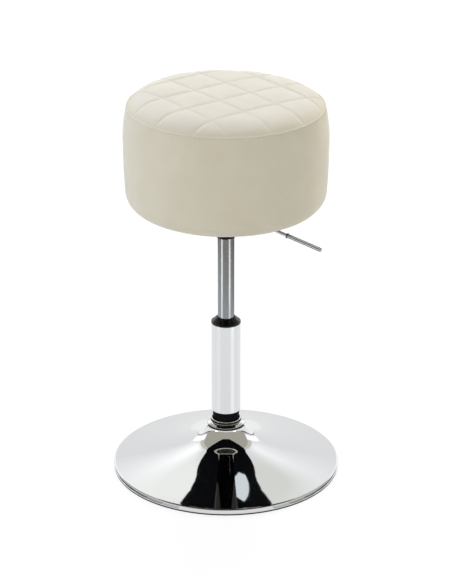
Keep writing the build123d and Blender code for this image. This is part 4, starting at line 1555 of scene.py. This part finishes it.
@dataclass
class SeatSide:
    """The seat's side panel: a drum of cloth over foam, gathered at the seam and pleated underneath."""

    form: SeatForm
    around: int = 880
    outer_counts: tuple[int, int, int] = (26, 22, 30)
    inner_counts: tuple[int, int, int] = (5, 4, 5)
    fold_steps: int = 9
    seam_tuck: float = 0.0012
    seam_turn_in: float = 0.0008
    seam_turn_rise: float = 1.3
    seam_gather: float = 0.00050
    seam_fade: float = 0.009
    pleat: float = 0.0009
    pleat_reach: float = 0.022
    pleat_power: float = 1.5
    pleat_depth: float = 0.8
    hem_slack: float = 0.0008
    swell: float = 0.00035
    back_seam: float = math.radians(140.0)
    seam_groove: float = 0.0009
    seam_width: float = 0.0016
    groove_reach: float = 0.02
    cord_around: int = 1040
    cord_sides: int = 14
    cord_nip: float = 0.045

    def outer_line(self) -> Array:
        """The outer face's line, from the fold's inner edge out and up to a tuck under the piping.

        Returns:
            Radius and height of each point.
        """
        fold_outer = self.form.fold_radius()
        fold = np.linspace(fold_outer - self.form.fold_width, fold_outer, self.fold_steps, endpoint=False)
        side = self.form.side_line(0.0, self.outer_counts)
        onward = side[-1] - side[-2]
        onward *= self.seam_tuck / np.linalg.norm(onward)
        turn_in = onward * self.seam_turn_rise - [self.seam_turn_in, 0.0]
        tuck = np.array([side[-1] + onward, side[-1] + turn_in])
        return np.vstack([np.column_stack([fold, np.full(len(fold), self.form.side.low)]), side, tuck])

    def push(self, length: Array, angle: Array) -> Array:
        """How far each point of the outer face is pushed out.

        It is the sum of gathers that fade exponentially below the seam, broad swells, pleats that grow
        across the fold, and a groove of Gaussian section at the back seam.

        Args:
            length: Distances along the outer line, from the fold's inner edge.
            angle: Places round the seat.

        Returns:
            A row of distances for each point of the line.
        """
        whole, length = length[-1], length[:, None]
        seam_share = np.exp(-(whole - length) / self.seam_fade)
        slow = np.sin(math.pi * length / whole)
        pleat_length = self.form.fold_width + self.pleat_reach
        pleat_share = np.clip(1 - length / pleat_length, 0.0, 1.0) ** self.pleat_power
        away = (np.mod(angle - self.back_seam + math.pi, FULL_TURN) - math.pi) * self.form.side.radius
        groove = np.exp(-((away / self.seam_width) ** 2))
        on_side = np.clip((length - self.form.fold_width) / self.groove_reach, 0.0, 1.0)
        push = self.seam_gather * seam_share * Folds.SEAM_GATHERS.heights(angle)
        push = push + self.swell * slow * Folds.SIDE_SWELLS.heights(angle)
        push = push + self.pleat * pleat_share * (Folds.HEM_PLEATS.heights(angle) - self.pleat_depth)
        return push - self.seam_groove * groove * on_side

    def panel(self) -> Surface:
        """The panel's closed section carried round, with its outer face pushed along the line's normal.

        Returns:
            The closed panel.
        """
        line = self.outer_line()
        along = np.gradient(line, axis=0)
        along /= np.linalg.norm(along, axis=1, keepdims=True)
        length = np.concatenate([[0.0], np.cumsum(np.linalg.norm(np.diff(line, axis=0), axis=1))])
        angle = even_angles(self.around)
        push = self.push(length, angle)
        radius = line[:, :1] + along[:, 1:] * push
        height = np.maximum(line[:, 1:] - along[:, :1] * push, self.form.side.low - self.hem_slack)
        thick = self.form.cover_thickness
        hem = [[line[0, 0], self.form.side.low + thick]]
        inner = np.vstack([hem, self.form.side_line(thick, self.inner_counts)])[::-1]
        all_round = np.ones(self.around)
        radius = np.vstack([radius, inner[:, :1] * all_round])
        height = np.vstack([height, inner[:, 1:] * all_round])
        return ringed(radius, height, angle)

    def welt(self) -> Surface:
        """The piping: a thin cord of cloth round the seam, nipped a little by its stitches.

        Returns:
            The closed cord.
        """
        circle, level, thick = self.form.piping_circle()
        angle, section = even_angles(self.cord_around), even_angles(self.cord_sides)[:, None]
        nip = 1.0 + self.cord_nip * Folds.CORD_NIPS.heights(angle)
        return ringed(circle + thick * np.cos(section) * nip, level + thick * np.sin(section) * nip, angle)

    def build(self) -> None:
        """Makes the panel and the piping."""
        panel = add_piece("side_panel", self.panel(), CREAM_SIDE, Body.SEAT, ["side_cover"])
        add_piece("seam_welt", self.welt(), CREAM_WELT, Body.SEAT, ["seam_piping"])


@dataclass
class SeatInside:
    """What the cover hides: foam, boards, and the cloth, staples and bolts underneath."""

    form: SeatForm
    around: int = 192
    foam_gap: float = 0.0004
    glue: float = 0.0003
    pad_round: float = 0.004
    pad_cut: float = 0.002
    pad_steps: tuple[int, int] = (30, 8)
    band_counts: tuple[int, int, int] = (16, 16, 20)
    staples: int = 24
    cloth_sag: float = 0.0005
    cloth_flat: float = 1.3
    cloth_start: float = 0.004
    cloth_steps: tuple[int, int] = (12, 16)
    cloth_crease: float = 0.15
    cloth_upper: float = 0.6

    def top_foam(self) -> Surface:
        """A pad on the top board, domed just below the quilted cover, with softly cut edges.

        Returns:
            The closed pad.
        """
        pad = Span.of("top_foam")
        flat = pad.radius - self.pad_round
        radius = np.linspace(0.0, flat, self.pad_steps[0])
        dome = self.form.crown(radius) - self.form.quilt_thickness - self.foam_gap
        center = (flat, float(dome[-1]) - self.pad_round)
        rim = arc(center, self.pad_round, QUARTER, 0.0, self.pad_steps[1])
        wall = [[pad.radius, pad.low + self.pad_cut], [pad.radius - self.pad_cut, pad.low], [0.0, pad.low]]
        return spun(np.vstack([np.column_stack([radius, dome]), rim, wall]), self.around)

    def side_foam(self) -> Surface:
        """A band of foam round the drum, with the side cover's own line and rounded ends.

        Returns:
            The closed band.
        """
        band, inner = Span.of("side_foam"), Span.of("drum_wall").radius + self.glue
        outer = self.form.side_line(self.form.cover_thickness + self.foam_gap, self.band_counts)
        outer = outer[(outer[:, 1] > band.low) & (outer[:, 1] < band.high)]
        return turned(np.vstack([[[inner, band.low]], outer, [[inner, band.high]]]), self.around)

    def lining(self) -> Surface:
        """The cloth under the seat: a thin round sheet, puckered between its staples.

        Its height is a cosine of the staples' count, growing with the square of the radius from the seat
        plate out to the rim.

        Returns:
            The closed sheet.
        """
        cloth = Span.of("dust_cover")
        flat = Span.of("seat_plate").radius * self.cloth_flat
        inside = np.linspace(self.cloth_start, flat, self.cloth_steps[0])
        outside = np.linspace(flat, cloth.radius, self.cloth_steps[1])[1:]
        radius = np.concatenate([inside, outside])[:, None]
        angle = even_angles(self.around * 2)
        share = np.clip((radius - flat) / (cloth.radius - flat), 0.0, 1.0)
        creases = self.cloth_crease * Folds.LINING_CREASES.heights(angle)
        dip = self.cloth_sag * share**2 * (0.5 * (1.0 - np.cos(self.staples * angle)) + creases)
        height = np.vstack([cloth.low - dip, (cloth.high - dip * self.cloth_upper)[::-1]])
        return capped(np.vstack([radius, radius[::-1]]), height, (cloth.low, cloth.high), angle)

    def build(self) -> None:
        """Makes the foam and the lining and dresses the boards and fasteners."""
        pad = add_piece("top_pad", self.top_foam(), FOAM, Body.SEAT, ["top_foam"])
        band = add_piece("side_pad", self.side_foam(), FOAM, Body.SEAT, ["side_foam"])
        lining = add_piece("lining_cloth", self.lining(), LINING, Body.SEAT, ["dust_cover"])
        across = 2 * Span.of("dust_cover").radius
        dress(WOOD, "top_board", "bottom_board", "drum_wall")
        dress(ZINC, "cover_staples", "plate_bolts", "bolt_washers", "t_nuts")
        dress(BLACK_PAINT, "seat_plate")
        dress(BLACK_GLOSS, "seat_socket")


CEILING_EDGE: tuple[Point, ...] = (
    (0.41, 3.35), (0.465, 3.02), (0.48, 2.88), (0.495, 2.75), (0.51, 2.62), (0.515, 2.5), (0.545, 2.41),
    (0.585, 2.23), (0.65, 2.11), (0.77, 2.05), (0.93, 1.97), (1.01, 1.89), (1.18, 1.72), (1.77, 0.92),
    (2.29, -0.24), (2.40, -1.1), (2.43, -2.0), (2.20, -3.2), (1.55, -4.7), (0.60, -5.7),
)
SMALL_PANEL: tuple[Point, ...] = (
    (0.332, 1.70), (0.45, 1.86), (0.415, 2.08), (0.30, 2.41), (0.205, 2.63), (0.112, 2.30), (0.136, 1.92),
    (0.21, 1.76),
)
NEAR_GREY, ROOM_GREY = srgb(224, 221, 212), srgb(190, 186, 174)
WALL_TONES = ((44, 60, NEAR_GREY), *((start, start + 20, ROOM_GREY) for start in range(60, 180, 20)))
SEEN_RAYS = ("Is Camera Ray", "Is Glossy Ray", "Is Transmission Ray")
RIM_LEVELS = ((95, 120), (105, 95), (115, 100), (125, 130), (135, 170), (145, 205))


@dataclass(frozen=True)
class RoomSide:
    """What differs between the left and the right of the room that the chrome shows."""

    name: str
    sign: int
    peak: float
    streak: float
    glint: float
    upper: Colour
    ground: Colour


ROOM_SIDES = (
    RoomSide("left", -1, 1.58, 122, 1.10, (1.20, 1.20, 1.155), srgb(255, 255, 255)),
    RoomSide("right", 1, 1.34, 129, 1.20, (0.935, 0.94, 0.885), srgb(195, 195, 197)),
)


@dataclass(frozen=True)
class Fade:
    """How a soft card fades: from a middle, over a reach sideways and in height, to white or to clear."""

    middle: Triple
    reach: Point
    melts: bool = False

    def share(self, shader: Shader) -> Value:
        """1 at the middle, falling in a straight line to 0 at the reach.

        Args:
            shader: The card's shader.

        Returns:
            The share at each place.
        """
        side, up = (1.0 / reach for reach in self.reach)
        scale = (side, side, up)
        shift = tuple(-place * share for place, share in zip(self.middle, scale))
        here = shader.node("ShaderNodeTexCoord", output="Object")
        spread = shader.node("ShaderNodeMapping", {}, {"Vector": here, "Location": shift, "Scale": scale})
        return shader.node("ShaderNodeTexGradient", {"gradient_type": "SPHERICAL"}, {"Vector": spread})


@dataclass
class Studio:
    """A plain white room for the stool: floor, soft lights, plain cards for its chrome and the camera."""

    azimuth: float = math.radians(37.0)
    distance: float = 3.8
    eye: float = 1.935
    aim: float = 0.3205
    lens: float = 151.9
    sensor: float = 36.0
    fill: float = 0.60
    floor_half: float = 30.0
    floor_tone: Colour = (0.8, 0.8, 0.79)
    floor_white: float = 1.15
    floor_glow: float = 0.7
    floor_near: float = 1.2
    floor_far: float = 6.0
    ceiling: float = 3.0
    paper: float = 0.8
    wall: float = 5.0
    wall_height: float = 9.0
    panel: float = 4.5
    panel_gap: float = 0.02
    shade_height: float = 0.002
    ground_height: float = 0.0025
    strip_height: float = 0.003
    second_look: float = 0.08
    lamp_aim: float = 0.5

    def spot(self, right: float, back: float, up: float) -> Vector:
        """A point given to the right of the stool and behind it, as the camera sees it."""
        cosine, sine = math.cos(self.azimuth), math.sin(self.azimuth)
        return Vector((right * cosine - back * sine, right * sine + back * cosine, up))

    def polar(self, turn: float, away: float, up: float) -> Vector:
        """A point at a distance, in degrees from straight behind the stool to the right."""
        angle = math.radians(turn)
        return self.spot(away * math.sin(angle), away * math.cos(angle), up)

    def look(self, eye: bpy.types.Object, place: Vector, height: float) -> None:
        """Puts a camera or lamp in its place, turned to a height on the stool's axis."""
        eye.location = place
        eye.rotation_euler = (Vector((0.0, 0.0, height)) - place).to_track_quat("-Z", "Y").to_euler()

    def camera(self) -> None:
        """Puts the camera at the viewing angle and makes it the scene's own."""
        data = bpy.data.cameras.new("camera")
        data.lens = self.lens
        data.sensor_width = self.sensor
        eye = linked("camera", data)
        self.look(eye, self.spot(0.0, -self.distance, self.eye), self.aim)
        bpy.context.scene.camera = eye

    def seen(self, shader: Shader) -> Value:
        """1 for what the camera sees, straight or in metal and glass, and 0 for other light."""
        rays = (shader.node("ShaderNodeLightPath", output=ray) for ray in SEEN_RAYS)
        return sum(rays).clamp()

    def seen_once(self, shader: Shader) -> Value:
        """1 for what a mirror shows straight, and little for what it shows in another mirror."""
        depth = shader.node("ShaderNodeLightPath", output="Glossy Depth")
        return (2.0 - depth).clamp(self.second_look)

    def world(self) -> None:
        """White as far as the camera and mirrors see, and a softer fill for everything else."""
        world = bpy.data.worlds.new("white_room")
        shader = Shader(world)
        strength = self.fill + self.seen(shader) * (1.0 - self.fill)
        glow = shader.node("ShaderNodeBackground", {}, {"Color": (*WHITE, 1.0), "Strength": strength})
        shader.finish(glow, "ShaderNodeOutputWorld")
        bpy.context.scene.world = world

    def flat(self, name: str, corners: Sequence[Vector], material: bpy.types.Material) -> bpy.types.Object:
        """One flat face of the set, which isn't part of the stool.

        Args:
            name: Its name.
            corners: Its corners in order.
            material: How it looks.

        Returns:
            The new object.
        """
        mesh = bpy.data.meshes.new(name)
        mesh.from_pydata([tuple(corner) for corner in corners], [], [tuple(range(len(corners)))])
        mesh.materials.append(material)
        made = linked(name, mesh)
        return made

    def floor(self) -> None:
        """A wide pale floor, white as seen, that keeps the stool's shadow and is all white far away."""
        shader = Shader(bpy.data.materials.new("pale_floor"))
        matte = shader.node("ShaderNodeBsdfDiffuse", {}, {"Color": (*self.floor_tone, 1.0)})
        white = shader.node("ShaderNodeEmission", {}, {"Color": (*WHITE, 1.0), "Strength": self.floor_white})
        away = shader.node("ShaderNodeVectorMath", {"operation": "LENGTH"}, {0: shader.place()}, "Value")
        far = ((away - self.floor_near) * (1.0 / (self.floor_far - self.floor_near))).clamp()
        share = self.seen(shader) * (self.floor_glow + far * (1.0 - self.floor_glow))
        shader.finish(shader.node("ShaderNodeMixShader", {}, {0: share, 1: matte, 2: white}))
        signs = ((-1, -1), (1, -1), (1, 1), (-1, 1))
        corners = [Vector((x * self.floor_half, y * self.floor_half, 0.0)) for x, y in signs]
        self.flat("floor", corners, shader.owner)

    def card(
        self,
        name: str,
        corners: Sequence[Vector],
        glow: Colour = WHITE,
        strength: float = 1.0,
        fade: Optional[Fade] = None,
    ) -> None:
        """A card that only shows in polished metal.

        Args:
            name: Its name.
            corners: Its corners in order.
            glow: Its colour, black for a dark flag.
            strength: How bright it is, where 1 is as white as the room.
            fade: How a soft card fades.
        """
        shader = Shader(bpy.data.materials.new(name))
        share = fade.share(shader) if fade else 1.0
        melts = fade is not None and fade.melts
        level = strength if melts else 1.0 + share * (strength - 1.0)
        sockets = {"Color": (*glow, 1.0), "Strength": self.seen_once(shader) * level}
        light = shader.node("ShaderNodeEmission", {}, sockets)
        if melts:
            clear = shader.node("ShaderNodeBsdfTransparent")
            light = shader.node("ShaderNodeMixShader", {}, {0: (share * 2.0).clamp(), 1: clear, 2: light})
        shader.finish(light)
        made = self.flat(name, corners, shader.owner)
        for ray in ("camera", "diffuse", "shadow", "transmission", "volume_scatter"):
            setattr(made, f"visible_{ray}", False)

    def patch(self, side: RoomSide, turns: Point, away: Point, up: Point) -> list[Vector]:
        """The corners of a card between two edges, each with a distance from the axis and a height.

        Args:
            side: The side of the room that it is on.
            turns: Where both edges start and end, in degrees from straight behind the stool.
            away: The distances of the edges.
            up: Their heights.

        Returns:
            Four corners in order.
        """
        start, end = (side.sign * turn for turn in turns)
        edges = ((start, 0), (end, 0), (end, 1), (start, 1))
        return [self.polar(turn, away[edge], up[edge]) for turn, edge in edges]

    def side_cards(self, side: RoomSide) -> None:
        """The cards on one side: grey walls and ground, bright panels, and strips and tones on the floor.

        Args:
            side: The side of the room.
        """
        wall, panel = (self.wall, self.wall), (self.panel, self.panel)
        heights = (self.shade_height, self.ground_height, self.strip_height)
        shade, ground, strip = ((height, height) for height in heights)
        for start, end, tone in WALL_TONES:
            corners = self.patch(side, (start, end), wall, (0.0, self.wall_height))
            self.card(f"grey_wall_{side.name}_{start}", corners, tone)
            corners = self.patch(side, (start, end), (self.paper, self.wall), shade)
            self.card(f"grey_ground_{side.name}_{start}", corners, tone)
        near, far = ((side.streak - half, side.streak + half) for half in (14, 8))
        bright = Fade(tuple(self.polar(side.sign * 27.0, self.wall, 3.8)), (2.0, 2.0))
        haze = Fade(tuple(self.polar(side.sign * 15.5, self.panel, 5.0)), (1.05, 2.0), True)
        for name, turns, away, up, *look in (
            ("bright_panel", (4, 44), wall, (0.0, 7.0), WHITE, side.peak, bright),
            ("near_strip", near, (0.24, 0.65), strip, WHITE, side.glint),
            ("far_strip", far, (0.66, 1.25), strip, WHITE, 4.8),
            ("high_panel", (2, 29), panel, (3.0, 7.0), side.upper, 1.0, haze),
            ("low_panel", (20, 60), panel, (0.42, 1.88), WHITE, 1.45),
            ("middle_ground", (12, 80), (0.74, 1.2), ground, side.ground),
            ("dark_ground", (12, 80), (1.2, self.wall), ground, srgb(88, 88, 90)),
        ):
            self.card(f"{name}_{side.name}", self.patch(side, turns, away, up), *look)
        for start, level in RIM_LEVELS:
            corners = self.patch(side, (start, start + 10), (0.196, 0.205), shade)
            self.card(f"rim_shade_{side.name}_{start}", corners, srgb(level, level, level + 2))

    def cards(self) -> None:
        """A dark ceiling with a tongue towards the back, a small panel below it, and the room's two sides."""
        outline = CEILING_EDGE + tuple((-right, back) for right, back in reversed(CEILING_EDGE))
        self.card("dark_ceiling", [self.spot(*place, self.ceiling) for place in outline], srgb(12, 13, 16))
        corners = [self.spot(*place, self.ceiling - self.panel_gap) for place in SMALL_PANEL]
        self.card("small_panel", corners, srgb(240, 247, 251))
        for side in ROOM_SIDES:
            self.side_cards(side)

    def lamp(self, name: str, where: Vector, size: float, power: float, tint: Colour = WHITE) -> None:
        """A square softbox aimed at the seat.

        Args:
            name: Its name.
            where: Its place.
            size: Its side.
            power: Its power in watts.
            tint: Its colour.
        """
        data = bpy.data.lights.new(name, "AREA")
        data.shape = "SQUARE"
        data.size = size
        data.energy = power
        data.color = tint
        made = linked(name, data)
        self.look(made, where, self.lamp_aim)
        made.visible_glossy = False

    def build(self) -> None:
        """Sets up the room, the lights and the camera."""
        bpy.context.scene.view_settings.view_transform = "Standard"
        self.camera()
        self.world()
        self.floor()
        self.cards()
        self.lamp("overhead_softbox", self.spot(0.1, 1.4, 3.0), 1.6, 33.0)
        self.lamp("left_softbox", self.spot(-2.5, 0.8, 1.2), 1.4, 19.5, (0.60, 0.73, 1.0))
        self.lamp("front_softbox", self.spot(-1.6, -2.0, 1.4), 2.0, 8.5)
        self.lamp("right_softbox", self.spot(2.1, 1.75, 1.2), 1.2, 22.0, (1.0, 0.96, 0.88))


def main() -> None:
    """Builds the stool and its set, and logs each new piece's face count."""
    logging.basicConfig(level=logging.INFO, format="%(name)s: %(message)s")
    Studio().build()
    TrumpetBase().build()
    Column().build()
    GasLift().build()
    LiftLever().build()
    form = SeatForm()
    QuiltedTop(form).build()
    SeatSide(form).build()
    SeatInside(form).build()


if __name__ == "__main__":
    main()
